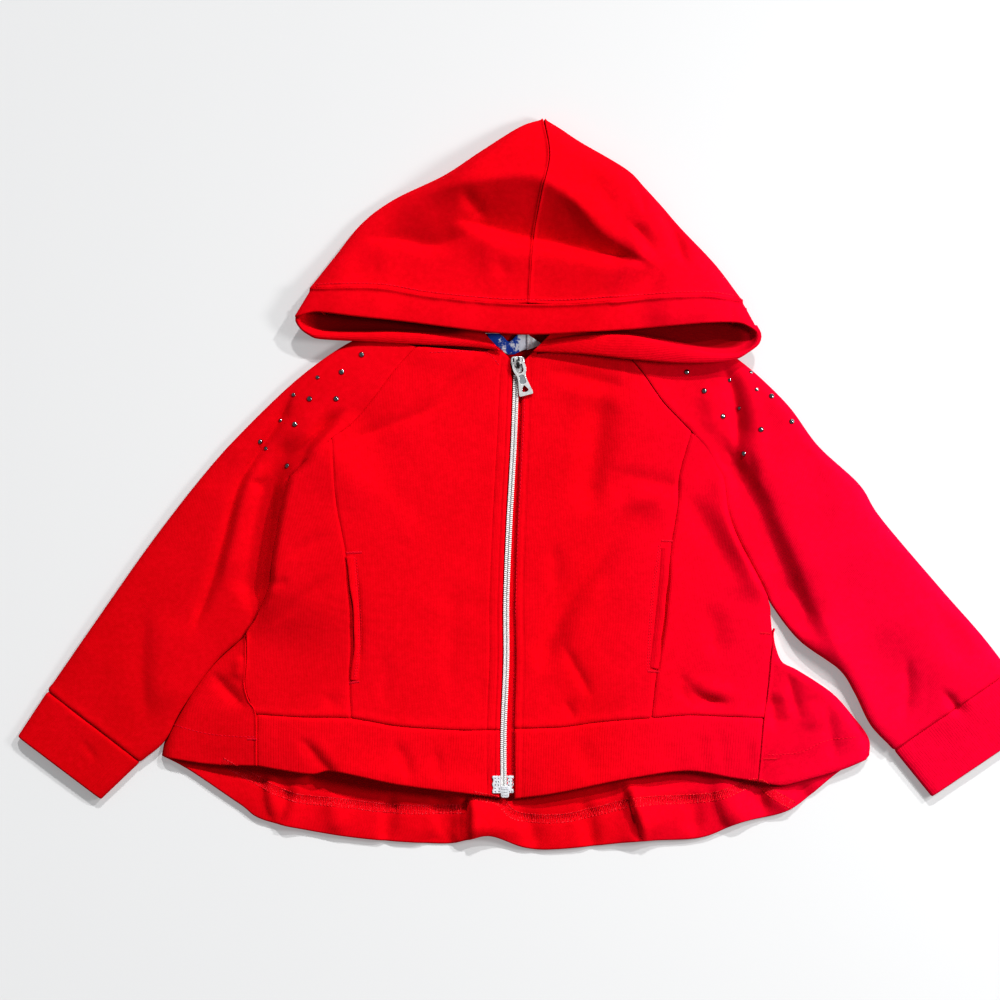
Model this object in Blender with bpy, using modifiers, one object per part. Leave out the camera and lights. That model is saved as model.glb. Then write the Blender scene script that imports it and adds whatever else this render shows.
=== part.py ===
"""A toddler's zip-front hooded jacket in red sweatshirt cloth, lying flat on its back.

Metres, +Z up. The surface it lies on is Z = 0, the hood points to +Y and the hem to -Y.
Left and right are as seen from above, so left is -X. All the tables are in millimetres.
Each cloth piece is an open grid of points at the middle of its wall, thickened by Solidify.
"""

import math

import bmesh
import bpy
from mathutils import Matrix, Vector
from mathutils.bvhtree import BVHTree

MM = 0.001

# ---------------------------------------------------------------- driving sizes
CLOTH = 1.6  # wall of the sweatshirt cloth
RIB = 2.2  # wall of the doubled rib of the hem bands and cuffs
TAPE = 0.8  # wall of the zip tape
FILM = 0.6  # wall of the film tabs at the foot of the zip
PRINT = 0.6  # wall of the label
GAP = 0.3  # left between pieces that lie on each other
SEAM_EASE = 0.2  # drawn back from a seam line by each of the two pieces sewn there
LOW = CLOTH / 2  # mid-wall height of a layer that lies on the table
BODY_REST = 6.8  # mid-wall height of the body's upper layer where nothing lifts it
HOOD_REST = 10.5  # the same for the hood's upper layer
TURN = 8  # how far from a fold the cloth starts to turn down
HOOD_TURN = 14
LEAST_ROOM = 2.6  # least height of an upper layer's mid-wall over the lower layer's
EDGE_LEFT = 3.0  # from the middle of the zip chain to the left front's edge
EDGE_RIGHT = (4.6, 8.0)  # the same for the right front, at the neck and at the hem
CHAIN = (4.3, 2.0)  # width and height of the zip chain

# ---------------------------------------------------------------- seams and outlines
# Each line has only the points it needs. They run from the neck to the hem or the cuff.
ZIP_LINE = ((-6, 100), (-8, 41), (-10, 3), (-12, -34), (-14, -87), (-14, -132), (-16, -184), (-16, -234))
LEFT = {
    "out": -1,
    "raglan": ((-82, 103), (-98, 85), (-113, 65), (-129, 46), (-144, 35)),
    "back_raglan": ((-76, 113), (-96, 88), (-113, 66), (-129, 47), (-145, 34)),
    "armhole": ((-147, 32), (-158, 22), (-175, 5)),
    "princess": ((-144, 35), (-141, -12), (-134, -51), (-131, -87), (-130, -117), (-131, -150),
                 (-130, -174)),
    "body_edge": ((-175, 5), (-182, -27), (-187, -57), (-189, -76), (-198, -97), (-208, -111)),
    "side_seam": ((-208, -111), (-208, -132), (-209, -148), (-206, -160), (-200, -171)),
    "band_side": ((-200, -171), (-200, -210)),
    "peplum_fold": ((-209, -112), (-232, -133), (-245, -149), (-257, -168), (-268, -188), (-272, -203)),
    "flap_hem": ((-200, -210), (-236, -209), (-270, -204)),
    "band_top": ((-200, -171), (-169, -173), (-130, -174), (-94, -180), (-49, -183), (-19, -183)),
    "band_foot": ((-200, -210), (-161, -216), (-142, -214), (-94, -224), (-41, -231), (-19, -234)),
    "sleeve_fold": ((-106, 110), (-128, 108), (-169, 80), (-214, 37), (-244, 3), (-281, -45), (-319, -99),
                    (-357, -154)),
    "underarm": ((-175, 5), (-182, -27), (-187, -57), (-189, -76), (-198, -97), (-209, -112), (-232, -133),
                 (-257, -168), (-270, -192), (-288, -207)),
    "cuff_end": ((-318, -235), (-379, -189)),
    "hood_outline": ((-160, 147), (-142, 170), (-122, 195), (-98, 213), (-60, 231), (-34, 248), (-4, 267),
                     (13.5, 273)),
    "hood_foot": ((-157, 146), (-109, 146), (-71, 140), (-19, 135), (3, 135)),
    "hood_neck": ((-164, 132), (-150, 122), (-130, 114), (-106, 111.4), (-76, 113.6), (2, 113.6)),
    "lip_free": ((-168, 121), (-158, 111), (-146, 108), (-109, 106), (-49, 103), (-24, 102)),
    "lip_inside": ((-163, 140), (-150, 136), (-128, 132), (-90, 129), (-50, 127), (-27, 121)),
    "lip_neck": ((-152, 129), (-138, 119), (-120, 113), (-106, 111), (-94, 107.8), (-83, 104.2),
                 (-50, 101.2), (-22, 99)),
    "pocket": ((-134, -54), (-131, -87), (-130, -117), (-131, -146)),
}
RIGHT = {
    "out": 1,
    "raglan": ((70, 103), (86, 87), (103, 63), (116, 49), (125, 40)),
    "back_raglan": ((66, 113), (85, 89), (103, 64), (116, 50), (126, 39)),
    "armhole": ((127.5, 36.4), (136, 27), (148, 5)),
    "princess": ((125, 40), (116, 7), (115, -14), (110, -45), (107, -75), (104, -105), (98, -148),
                 (95, -174)),
    "body_edge": ((148, 5), (150, -19), (158, -42), (174, -73), (181, -90), (184, -108)),
    "side_seam": ((184, -108), (184, -122), (182, -146), (180, -160), (178, -174)),
    "band_side": ((178, -174), (174, -222)),
    "peplum_fold": ((186, -110), (192, -132), (206, -141), (229, -156), (244, -172), (257, -189),
                    (258, -203)),
    "flap_hem": ((174, -222), (191, -225), (206, -222), (235, -214), (255, -206)),
    "band_top": ((178, -174), (150, -173), (124, -172), (95, -174), (56, -177), (26, -181), (-8, -182)),
    "band_foot": ((174, -222), (154, -219), (120, -214), (75, -220), (26, -230), (-8, -235)),
    "sleeve_fold": ((100, 108), (130, 106), (159, 94), (195, 61), (219, 29), (250, 0), (266, -25),
                    (311, -78), (341, -112), (362, -139)),
    "underarm": ((148, 5), (151, -19), (160, -42), (177, -74), (186, -92), (206, -117), (235, -138),
                 (247, -156), (259, -180), (276, -198)),
    "cuff_end": ((305, -233), (379, -183)),
    "hood_outline": ((161, 138), (142, 164), (116, 192), (90, 221), (75, 236), (41, 256), (26, 266),
                     (14.5, 273)),
    "hood_foot": ((159, 137), (131, 140), (86, 138), (30, 134), (3, 135)),
    "hood_neck": ((169, 122), (155, 114), (130, 108.6), (100, 109.6), (66, 113.6), (2, 113.6)),
    "lip_free": ((171, 107), (160, 95), (139, 91), (116, 91), (86, 93), (56, 96), (26, 99), (7, 101)),
    "lip_inside": ((165, 131), (150, 130), (128, 128), (90, 126), (50, 124), (10, 119)),
    "lip_neck": ((158, 122), (145, 116), (126, 112), (101, 109.4), (86, 106.6), (71, 104.2),
                 (40, 101.2), (5, 98.6)),
    "pocket": ((109, -47), (107, -75), (104, -105), (100, -138)),
}
BAND_SEAM = ((-158, 146), (-109, 146), (-71, 140), (-19, 135), (30, 134), (86, 138), (131, 140), (160, 137))
BAND_EDGE = ((-169, 126), (-152, 127), (-109, 123), (-49, 116), (11, 112), (71, 115), (131, 119),
             (173, 115))
HEM_LINE = ((-272, -203), (-251, -214), (-214, -239), (-193, -252), (-131, -264), (-64, -269), (-44, -266),
            (-26, -263), (0, -272), (26, -273), (86, -264), (131, -263), (161, -253), (199, -243),
            (235, -215), (258, -203))
WAIST = ((-207, -111.3), (183.5, -108.3))
HOOD_SEAM = ((3, 135), (6, 183), (12, 217), (18, 245), (14, 273))  # centre seam, from the band up

# ---------------------------------------------------------------- what lifts the cloth
# Each row is one swell (rise above 0) or crease (below 0): name, rise, reach each side, path.
BODY_FOLDS = (
    ("hem bands", 3.4, 34, ((-196, -196), (-20, -212), (172, -200))),
    ("left sleeve swell", 2.0, 30, ((-150, 60), (-230, -60), (-300, -150))),
    ("left sleeve crease", -2.6, 8, ((-172, 70), (-203, 17), (-223, -27), (-232, -68), (-250, -112))),
    ("left armpit crease", -3.0, 8, ((-131, 56), (-154, 33), (-172, 8))),
    ("right sleeve swell", 8.0, 36, ((180, 62), (238, -30), (318, -140))),
    ("right sleeve valley", -7.0, 11, ((152, 82), (166, 25), (180, -12), (204, -70), (234, -122))),
    ("right sleeve ridge", 5.0, 12, ((170, 63), (190, 10), (214, -50), (246, -130))),
    ("left front crease", -1.6, 9, ((-34, 90), (-94, 52), (-122, 34))),
    ("left side crease", -1.6, 9, ((-135, -68), (-188, -104))),
    ("right front crease", -1.8, 12, ((86, -20), (26, -60), (12, -138))),
    ("right side crease", -2.0, 12, ((124, -4), (146, -58), (168, -84))),
    ("left chest swell", 2.0, 45, ((-70, 40), (-75, -140))),
    ("right chest swell", 2.4, 40, ((60, 40), (55, -140))),
    ("left edge roll", 1.6, 16, ((-168, -20), (-176, -90))),
)
HOOD_FOLDS = (
    ("lip roll", 7.2, 26, ((-165, 130), (-60, 121), (10, 117), (80, 119), (166, 120))),
    ("crown swell", 4.0, 34, ((-70, 190), (0, 240), (60, 215))),
    ("deep valley", -7.0, 15, ((-34, 214), (2, 208), (34, 192), (84, 172))),
    ("valley's ridge", 3.5, 12, ((-40, 186), (6, 172), (78, 158))),
    ("left valley", -4.0, 12, ((-120, 186), (-70, 180), (-38, 196))),
    ("right crease", -3.0, 9, ((104, 202), (116, 165))),
)
LOWER_FOLDS = (
    ("left pleat", 3.2, 9, ((-150, -150), (-182, -266))),
    ("middle pleat", 3.8, 8, ((-56, -150), (-44, -274))),
    ("right pleat", 3.8, 9, ((60, -150), (86, -274))),
    ("outer right pleat", 3.0, 8, ((120, -150), (166, -262))),
    ("left hood tip", 3.6, 20, ((-172, 128), (-162, 136))),
    ("right hood tip", 3.6, 20, ((175, 118), (164, 128))),
)

# ---------------------------------------------------------------- trim
# Dome studs on the sleeve heads: x, y, diameter.
LEFT_STUDS = ((-122, 97, 4), (-137, 84, 4), (-155, 80, 3), (-173, 67, 3), (-161, 64, 4),
              (-141, 64, 4), (-183, 48, 3), (-172, 45, 4), (-198, 32, 4), (-194, 27, 3), (-178, 14, 4))
RIGHT_STUDS = ((121, 84, 4), (134, 70, 4), (148, 51, 4), (163, 23, 4), (153, 78, 3), (160, 57, 3),
               (169, 84, 3), (173, 71, 3), (184, 66, 4), (176, 41, 4), (199, 47, 4))
STUD_SEAT = 0.35  # from the cloth to a stud's flat back
SLIDER = {"place": (-5.6, 89.5), "width": 10.4, "length": 12.6, "plate": 1.6, "lean": 15}
BRIDGE = {"width": 2.4, "length": 6.6, "tunnel": 3.6, "height": 2.9, "roof": 1.0}
# Half widths of the pull tab at distances from its hinge.
TAB_OUTLINE = ((-0.8, 3.6), (-0.2, 4.6), (3.0, 5.1), (6.0, 4.6), (10.5, 3.3), (17.0, 4.3), (23.0, 5.4),
               (24.4, 4.6))
TAB_SLOT = {"start": 0.7, "end": 7.2, "half_width": 2.7}
TAB_HOLE = ((16.6, 0.0), (20.8, -2.4), (21.6, 0.2), (20.8, 2.6))
TAB_WALL = 1.2
TAB_SAG = 4  # degrees that the tab's free end hangs below level
BOX = {"place": (-15.1, -229.6), "width": 6.4, "length": 9.0, "height": 2.6}


# ---------------------------------------------------------------- lines in plan
def smooth(points, steps=8):
    """A finer line through the points, rounded as a Catmull-Rom curve."""
    knots = [Vector(point) for point in points]
    knots = [2 * knots[0] - knots[1], *knots, 2 * knots[-1] - knots[-2]]
    line = []
    for before, start, end, after in zip(knots, knots[1:], knots[2:], knots[3:]):
        for step in range(steps):
            t = step / steps
            line.append(
                0.5 * (2 * start + (end - before) * t
                       + (2 * before - 5 * start + 4 * end - after) * t**2
                       + (3 * start - before - 3 * end + after) * t**3)
            )
    return [*line, knots[-2]]


def stations(points, count, out=0.0):
    """count points evenly spaced along the smooth line.

    They are moved sideways by out, which is towards +X on a line that runs to -Y.
    """
    line = smooth(points)
    lengths = [0.0]
    for start, end in zip(line, line[1:]):
        lengths.append(lengths[-1] + (end - start).length)
    found = []
    index = 0
    for number in range(count):
        target = lengths[-1] * number / (count - 1)
        while index < len(line) - 2 and lengths[index + 1] < target:
            index += 1
        way = line[index + 1] - line[index]
        share = (target - lengths[index]) / way.length
        side = Vector((-way.y, way.x)).normalized()
        found.append(line[index] + way * share + side * out)
    return found


def distance_to(path, spot):
    """Distance in plan from a spot to a path of straight runs."""
    best = math.inf
    for start, end in zip(path, path[1:]):
        start = Vector(start)
        run = Vector(end) - start
        share = max(0.0, min(1.0, (spot - start).dot(run) / run.length_squared))
        best = min(best, (start + run * share - spot).length)
    return best


def lifted(spot, rest, folds):
    """Mid-wall height at a spot: the rest height with every swell and crease near it."""
    plan = Vector(spot[:2])
    height = rest
    for _, rise, reach, path in folds:
        height += rise * math.exp(-((distance_to(path, plan) / reach) ** 2))
    return height


def body_top(spot):
    return max(lifted(spot, BODY_REST, BODY_FOLDS), lower(spot) + LEAST_ROOM)


def hood_top(spot):
    return max(lifted(spot, HOOD_REST, HOOD_FOLDS), lower(spot) + LEAST_ROOM)


def lower(spot):
    return lifted(spot, LOW, LOWER_FOLDS)


def turned(distance, level, edge_level, reach=TURN):
    """Height of a layer at a distance from its fold: level, rounding over to edge_level at the fold."""
    if distance >= reach:
        return level
    return edge_level + (level - edge_level) * math.sqrt(1 - (1 - distance / reach) ** 2)


def spread(width, middle, near=(0.0, 2.0, 5.5, 11.0)):
    """Distances from one edge to the other of a layer of this width, close together at both edges."""
    near = [min(step, width * share) for step, share in zip(near, (0.0, 0.1, 0.22, 0.34))]
    inner = [near[-1] + (width - 2 * near[-1]) * step / (middle + 1) for step in range(1, middle + 1)]
    return [*near, *inner, *(width - step for step in reversed(near))]


# ---------------------------------------------------------------- making objects
def collection():
    found = bpy.data.collections.get("hooded_jacket")
    if found is None:
        found = bpy.data.collections.new("hooded_jacket")
        bpy.context.scene.collection.children.link(found)
    return found


def finish(name, colour, roughness, metallic=0.0):
    found = bpy.data.materials.get(name) or bpy.data.materials.new(name)
    found.use_nodes = True
    shader = found.node_tree.nodes["Principled BSDF"]
    shader.inputs["Base Color"].default_value = (*colour, 1)
    shader.inputs["Roughness"].default_value = roughness
    shader.inputs["Metallic"].default_value = metallic
    return found


def red_cloth():
    return finish("red_cloth", (0.87, 0.002, 0.012), 0.9)


def red_rib():
    return finish("red_rib", (0.85, 0.002, 0.012), 0.92)


def zip_metal():
    return finish("zip_metal", (0.78, 0.79, 0.8), 0.28, 1.0)


def add(name, mesh, material):
    mesh.materials.append(material)
    thing = bpy.data.objects.new(name, mesh)
    collection().objects.link(thing)
    return thing


def eased(rows, gap=SEAM_EASE):
    """The rows with their border drawn in, so that sewn pieces don't touch."""
    rows = [[point.copy() for point in row] for row in rows]
    for row in rows:
        row[0] += (row[1] - row[0]).normalized() * gap
        row[-1] += (row[-2] - row[-1]).normalized() * gap
    for first, second in ((0, 1), (-1, -2)):
        rows[first] = [
            point + (inner - point).normalized() * gap for point, inner in zip(rows[first], rows[second])
        ]
    return rows


def panel(name, rows, material=None, wall=CLOTH):
    """A cloth piece from rows of mid-wall points: a grid moved into place and given its wall."""
    rows = eased(rows)
    mesh = bpy.data.meshes.new(name)
    grid = bmesh.new()
    bmesh.ops.create_grid(grid, x_segments=len(rows[0]) - 1, y_segments=len(rows) - 1, size=1)
    for vertex, point in zip(grid.verts, (point for row in rows for point in row)):
        vertex.co = point * MM
    grid.to_mesh(mesh)
    grid.free()
    mesh.shade_smooth()
    cloth = add(name, mesh, material or red_cloth())
    solid = cloth.modifiers.new("wall", "SOLIDIFY")
    solid.thickness = wall * MM
    solid.offset = 0
    return cloth


def raised(spot, height):
    return Vector((spot[0], spot[1], height))


# ---------------------------------------------------------------- body
def zip_x(y):
    """Where the middle of the zip is at a height up the front."""
    for (x_above, above), (x_below, below) in zip(ZIP_LINE, ZIP_LINE[1:]):
        if y >= below:
            return x_above + (x_below - x_above) * (above - y) / (above - below)
    return ZIP_LINE[-1][0]


def front_edge(side, y):
    """The edge of a front where it meets the zip."""
    if side["out"] < 0:
        return Vector((zip_x(y) - EDGE_LEFT, y))
    slack = max(0.0, min(1.0, (40 - y) / 240))
    return Vector((zip_x(y) + EDGE_RIGHT[0] + (EDGE_RIGHT[1] - EDGE_RIGHT[0]) * slack, y))


RAGLAN_ROWS, ARMHOLE_ROWS, PRINCESS_ROWS, SLEEVE_ROWS, PEPLUM_ROWS = 5, 3, 11, 9, 8


def on_line(points, x):
    """How far up (Y) a line that runs across the body is at x."""
    line = sorted(smooth(points), key=lambda spot: spot.x)
    for start, end in zip(line, line[1:]):
        if x <= end.x:
            return start.y + (end.y - start.y) * (x - start.x) / (end.x - start.x)
    return line[-1].y


def bowed(point, last_row, side, share):
    """A front's point moved up or down so that the last row follows the seam of the hem band."""
    start, end = last_row
    straight = start.y + (end.y - start.y) * (point.x - start.x) / (end.x - start.x)
    return point + Vector((0, (on_line(side["band_top"], point.x) - straight) * share**5))


def centre_front(name, side):
    outer = stations(side["raglan"], RAGLAN_ROWS) + stations(side["princess"], PRINCESS_ROWS)[1:]
    neck, hem = 97, on_line(side["band_top"], zip_x(-183))
    last_row = (front_edge(side, hem), outer[-1])
    rows = []
    for number, spot in enumerate(outer):
        y = neck + (spot.y - outer[0].y) * (hem - neck) / (outer[-1].y - outer[0].y)
        inner = front_edge(side, y)
        plan = [inner.lerp(spot, share) for share in (0, 0.08, 0.3, 0.55, 0.8, 1)]
        plan = [bowed(point, last_row, side, number / (len(outer) - 1)) for point in plan]
        rows.append([raised(point, body_top(point)) for point in plan])
    return panel(name, rows)


def side_front(name, side):
    inner = stations(side["princess"], PRINCESS_ROWS)
    edge = stations(side["armhole"], ARMHOLE_ROWS)
    edge += stations(side["body_edge"], 6, -side["out"] * CLOTH / 2)[1:]
    edge += stations(side["side_seam"], 4)[1:]
    folded = (0, 0, 0.6, 1, 1, 1, 1, 0.9, 0.3, 0, 0)  # how far each row's edge turns down to the back
    rows = []
    for number, (start, end, fold) in enumerate(zip(inner, edge, folded)):
        width = (end - start).length
        row = []
        for distance in spread(width, 2)[2:]:
            point = start.lerp(end, (distance if row else 0) / width)
            point = bowed(point, (inner[-1], edge[-1]), side, number / (len(inner) - 1))
            level = body_top(point)
            down = turned((end - point).length, level, CLOTH + 2 * GAP)
            row.append(raised(point, level + (down - level) * fold))
        rows.append(row)
    return panel(name, rows)


def hem_band(name, side):
    top = stations(side["band_top"], 11)
    foot = stations(side["band_foot"], 11)
    rows = []
    for share in (0, 0.35, 0.7, 1):
        plan = [start.lerp(end, share) for start, end in zip(top, foot)]
        rows.append([raised(point, body_top(point)) for point in plan])
    return panel(name, rows, red_rib(), RIB)


def back_bodice():
    edges = []
    for side in (LEFT, RIGHT):
        edge = stations(side["back_raglan"], RAGLAN_ROWS) + stations(side["armhole"], ARMHOLE_ROWS)[1:]
        edges.append(edge + stations(side["body_edge"], 7)[1:])
    rows = []
    for start, end in zip(*edges):
        rows.append([raised(start.lerp(end, step / 4), LOW) for step in range(5)])
    return panel("back", rows)


def peplum_row(row):
    """One level of the peplum: left flap, left fold, the back from side to side, right fold, right flap."""
    share = row / (PEPLUM_ROWS - 1)
    flaps, folds = [], []
    for side in (LEFT, RIGHT):
        seam = stations(side["side_seam"] + side["band_side"][1:], PEPLUM_ROWS, side["out"] * 2 * GAP)[row]
        fold = stations(side["peplum_fold"], PEPLUM_ROWS, -side["out"] * (CLOTH / 2 + GAP))[row]
        straight = Vector(side["peplum_fold"][0]).lerp(Vector(side["peplum_fold"][-1]), share)
        width = (fold - seam).length
        hem = stations(side["flap_hem"], 21)
        flap = []
        for distance in spread(width, 1)[:-1]:
            point = seam.lerp(fold, distance / width)
            point = point.lerp(hem[round(20 * distance / width)], share**6)
            level = turned(width - distance, body_top(point), lower(point) + LEAST_ROOM / 2)
            flap.append(raised(point, level))
        flaps.append(flap)
        folds.append((fold, fold - straight))
    (left_fold, left_bow), (right_fold, right_bow) = folds
    hem = stations(HEM_LINE, 21)
    waist = stations(WAIST, 21)
    back = []
    for column, (start, end) in enumerate(zip(waist, hem)):
        across = column / 20
        point = start.lerp(end, share) + left_bow * (1 - across) ** 5 + right_bow * across**5
        point = left_fold if column == 0 else right_fold if column == 20 else point
        nearest = min((point - left_fold).length, (point - right_fold).length)
        middle = lower(point) + LEAST_ROOM / 2
        back.append(raised(point, turned(nearest, lower(point), middle)))
    return [*flaps[0], *back, *reversed(flaps[1])]


def peplum():
    return panel("peplum", [peplum_row(row) for row in range(PEPLUM_ROWS)])


# ---------------------------------------------------------------- sleeves
def tube_section(start, fold, back_start, opened):
    """One section of a sleeve: over the top from its seam to the fold, and back underneath.

    opened is 1 where the seam meets the body and 0 where the tube closes under the arm.
    """
    width = (fold - start).length
    points = []
    for distance in spread(width, 3):
        point = start.lerp(fold, distance / width)
        level = body_top(point)
        middle = (level + LOW) / 2
        height = turned(width - distance, level, middle)
        if distance < TURN:
            closed = turned(distance, level, middle + (CLOTH + GAP) / 2)
            height = closed + (height - closed) * opened
        points.append(raised(point, height))
    under_width = (fold - back_start).length
    for distance in reversed(spread(under_width, 2)[:-1]):
        point = back_start.lerp(fold, distance / under_width)
        level = body_top(point)
        middle = (level + LOW) / 2
        height = turned(under_width - distance, LOW, middle)
        if distance < TURN:
            closed = turned(distance, LOW, middle - (CLOTH + GAP) / 2)
            height = closed + (height - closed) * opened
        points.append(raised(point, height))
    return points


def sleeve_rows(side):
    seam = stations(side["raglan"], RAGLAN_ROWS) + stations(side["armhole"], ARMHOLE_ROWS)[1:]
    back = stations(side["back_raglan"], RAGLAN_ROWS) + stations(side["armhole"], ARMHOLE_ROWS)[1:]
    tube = underarm(side)
    opened = [1] * (len(seam) - 1) + [0.4] + [0] * len(tube)
    folds = sleeve_fold(side, len(opened))
    return [
        tube_section(*section) for section in zip(seam + tube, folds, back + tube, opened)
    ]


def underarm(side):
    return stations(side["underarm"], SLEEVE_ROWS, side["out"] * (CLOTH / 2 + 1.5 * GAP))[1:]


def sleeve_fold(side, count):
    return stations(side["sleeve_fold"], count, -side["out"] * CLOTH / 2)


def cuff_rows(side, steps=2):
    inner, outer = underarm(side)[-1], sleeve_fold(side, 2)[-1]
    inner_end, outer_end = (Vector(point) for point in side["cuff_end"])
    rows = []
    for step in range(steps + 1):
        start, fold = inner.lerp(inner_end, step / steps), outer.lerp(outer_end, step / steps)
        rows.append(tube_section(start, fold, start, 0))
    return rows


# ---------------------------------------------------------------- hood
def hood_half(name, side):
    rows = []
    count = 11
    seam = smooth(HOOD_SEAM)
    lines = (side["hood_neck"], side["hood_outline"], side["hood_foot"])
    for number, (neck, crown, lip) in enumerate(zip(*(stations(line, count) for line in lines))):
        crown = crown + (neck - crown).normalized() * CLOTH / 2
        depth = (crown - neck).length
        near_seam = (number / (count - 1)) ** 4
        row = []
        for share in (0, 0.3, 0.6, 0.85, 0.95):
            point = neck.lerp(crown, share)
            middle = (hood_top(point) + lower(point)) / 2
            row.append(raised(point, turned(depth * (1 - share), lower(point), middle)))
        reach = (crown - lip).length
        for share in (1, 0.96, 0.88, 0.75, 0.55, 0.35, 0.15, 0):
            point = lip.lerp(crown, share)
            chord = Vector(HOOD_SEAM[0]).lerp(Vector(HOOD_SEAM[-1]), share)
            point += (seam[round(share * (len(seam) - 1))] - chord) * near_seam
            middle = (hood_top(point) + lower(point)) / 2
            level = turned(reach * (1 - share), hood_top(point), middle, HOOD_TURN)
            row.append(raised(point, level))
        rows.append(row)
    return panel(name, rows)


def hood_band():
    seam = stations(BAND_SEAM, 23)
    edge = stations(BAND_EDGE, 23)
    rows = []
    for share in (0, 0.33, 0.67, 1):
        row = []
        for start, end in zip(seam, edge):
            point = start.lerp(end, share)
            ends = [seam[index].lerp(edge[index], share) for index in (0, -1)]
            tip = min((point - end).length for end in ends)
            row.append(raised(point, turned(tip, hood_top(point), 14.2, HOOD_TURN)))
        rows.append(row)
    return panel("hood_band", rows)


def hood_lip(name, side):
    """The hood's lower lip: up from the neck seam, over a fold inside, and out over the neck."""
    rows = []
    count = 11
    lines = (side["lip_neck"], side["lip_inside"], side["lip_free"])
    for number, (neck, inside, free) in enumerate(zip(*(stations(line, count) for line in lines))):
        rise = 1.6 * (1 - number / (count - 1)) ** 2
        base, top = 7.2 + rise, 10.4 + rise
        fold = (base + top) / 2
        row = [raised(neck.lerp(inside, share), base) for share in (0, 0.5, 0.88)]
        row += [raised(inside, fold), raised(free.lerp(inside, 0.92), top)]
        row += [raised(free.lerp(inside, 0.5), top + 0.6), raised(free, top)]
        rows.append(row)
    return panel(name, rows)


# ---------------------------------------------------------------- trim
def pocket_welt(name, side):
    """A strip on the centre front beside the pocket opening, made from the panel's own points."""
    wall = 1.0
    rows = []
    lines = [stations(side["pocket"], 9, -side["out"] * inward) for inward in (0.6, 7.0)]
    for start, end in zip(*lines):
        plan = (start, start.lerp(end, 0.5), end)
        rows.append([raised(point, body_top(point) + CLOTH / 2 + GAP + wall / 2) for point in plan])
    return panel(name, rows, wall=wall)


def neck_label():
    rows = []
    for y, height in ((112, 4.2), (104, 4.0), (96, 3.4), (88, 2.7)):
        rows.append([Vector((x, y, height)) for x in (-28, -14, 0, 12)])
    panel("neck_label", rows, finish("label_print", (0.03, 0.09, 0.32), 0.6), PRINT)
    rows = []
    for y, height in ((110, 5.1), (103, 4.9), (96, 4.3)):
        rows.append([Vector((x, y, height)) for x in (2, 7, 12)])
    panel("size_tab", rows, finish("tab_cloth", (0.8, 0.8, 0.82), 0.7), PRINT)


def zip_strip(name, near, far, rise, wall, ends, material):
    """A strip along the zip between two distances from its middle, at a rise above the fronts' mid-wall."""
    count = 15
    rows = []
    for number in range(count):
        y = ends[0] + (ends[1] - ends[0]) * number / (count - 1)
        plan = [Vector((zip_x(y) + near + (far - near) * step / 2, y)) for step in range(3)]
        middle = body_top(Vector((zip_x(y), y)))
        rows.append([raised(point, middle + rise) for point in plan])
    return panel(name, rows, material, wall)


def zip_parts():
    tape = finish("zip_tape", (0.6, 0.002, 0.012), 0.85)
    under = -(CLOTH / 2 + 2 * GAP + TAPE / 2)
    zip_strip("zip_tape_left", -0.5, -13, under, TAPE, (96, -232), tape)
    zip_strip("zip_tape_right", 0.5, 14, under, TAPE, (96, -232), tape)
    rise = under + TAPE / 2 + GAP + CHAIN[1] / 2
    zip_strip("zip_chain", -CHAIN[0] / 2, CHAIN[0] / 2, rise, CHAIN[1], (82, -224), zip_metal())


def solid_box(name, low, high, material, bevel=0.0):
    mesh = bpy.data.meshes.new(name)
    cube = bmesh.new()
    bmesh.ops.create_cube(cube, size=1)
    for vertex in cube.verts:
        share = vertex.co + Vector((0.5, 0.5, 0.5))
        vertex.co = [(low[axis] + share[axis] * (high[axis] - low[axis])) * MM for axis in range(3)]
    cube.to_mesh(mesh)
    cube.free()
    box = add(name, mesh, material)
    if bevel:
        rounding = box.modifiers.new("rounding", "BEVEL")
        rounding.width = bevel * MM
        rounding.segments = 2
    return box


def hidden_tool(thing):
    """Puts a cutter or a piece that is joined into another out of the build."""
    tools = bpy.data.collections.get("tools") or bpy.data.collections.new("tools")
    if tools.name not in bpy.context.scene.collection.children:
        bpy.context.scene.collection.children.link(tools)
    for home in thing.users_collection:
        home.objects.unlink(thing)
    tools.objects.link(thing)
    thing.hide_render = True
    thing.display_type = "WIRE"


def joined(base, tool, operation):
    step = base.modifiers.new(operation.lower(), "BOOLEAN")
    step.operation = operation
    step.object = tool
    hidden_tool(tool)


def slider_frame():
    """The slider's own frame: X across it, Y up the zip, Z up; its origin on the fronts' top face."""
    x, y = SLIDER["place"]
    top = body_top(Vector((x, y))) + CLOTH / 2
    return Vector((x, y, top))


def slider():
    origin = slider_frame()
    half, length, plate = SLIDER["width"] / 2, SLIDER["length"] / 2, SLIDER["plate"]
    low = origin.z + GAP
    body = solid_box(
        "zip_slider", (origin.x - half, origin.y - length, low),
        (origin.x + half, origin.y + length, low + plate), zip_metal(), 0.5,
    )
    stem = solid_box(
        "stem", (origin.x - 2.2, origin.y - 5.2, origin.z - CLOTH - GAP),
        (origin.x + 2.2, origin.y + 5.2, low + 0.8), zip_metal(),
    )
    joined(body, stem, "UNION")
    roof = low + plate + BRIDGE["height"] + BRIDGE["roof"]
    wide, long = BRIDGE["width"] / 2, BRIDGE["length"] / 2
    hinge = hinge_place()
    bridge = solid_box(
        "bridge", (hinge.x - wide, hinge.y - long, low + plate - 0.6),
        (hinge.x + wide, hinge.y + long, roof), zip_metal(),
    )
    joined(body, bridge, "UNION")
    room = BRIDGE["tunnel"] / 2
    tunnel = solid_box(
        "tunnel", (hinge.x - wide - 1, hinge.y - room, low + plate),
        (hinge.x + wide + 1, hinge.y + room, low + plate + BRIDGE["height"]), zip_metal(),
    )
    joined(body, tunnel, "DIFFERENCE")


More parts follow.
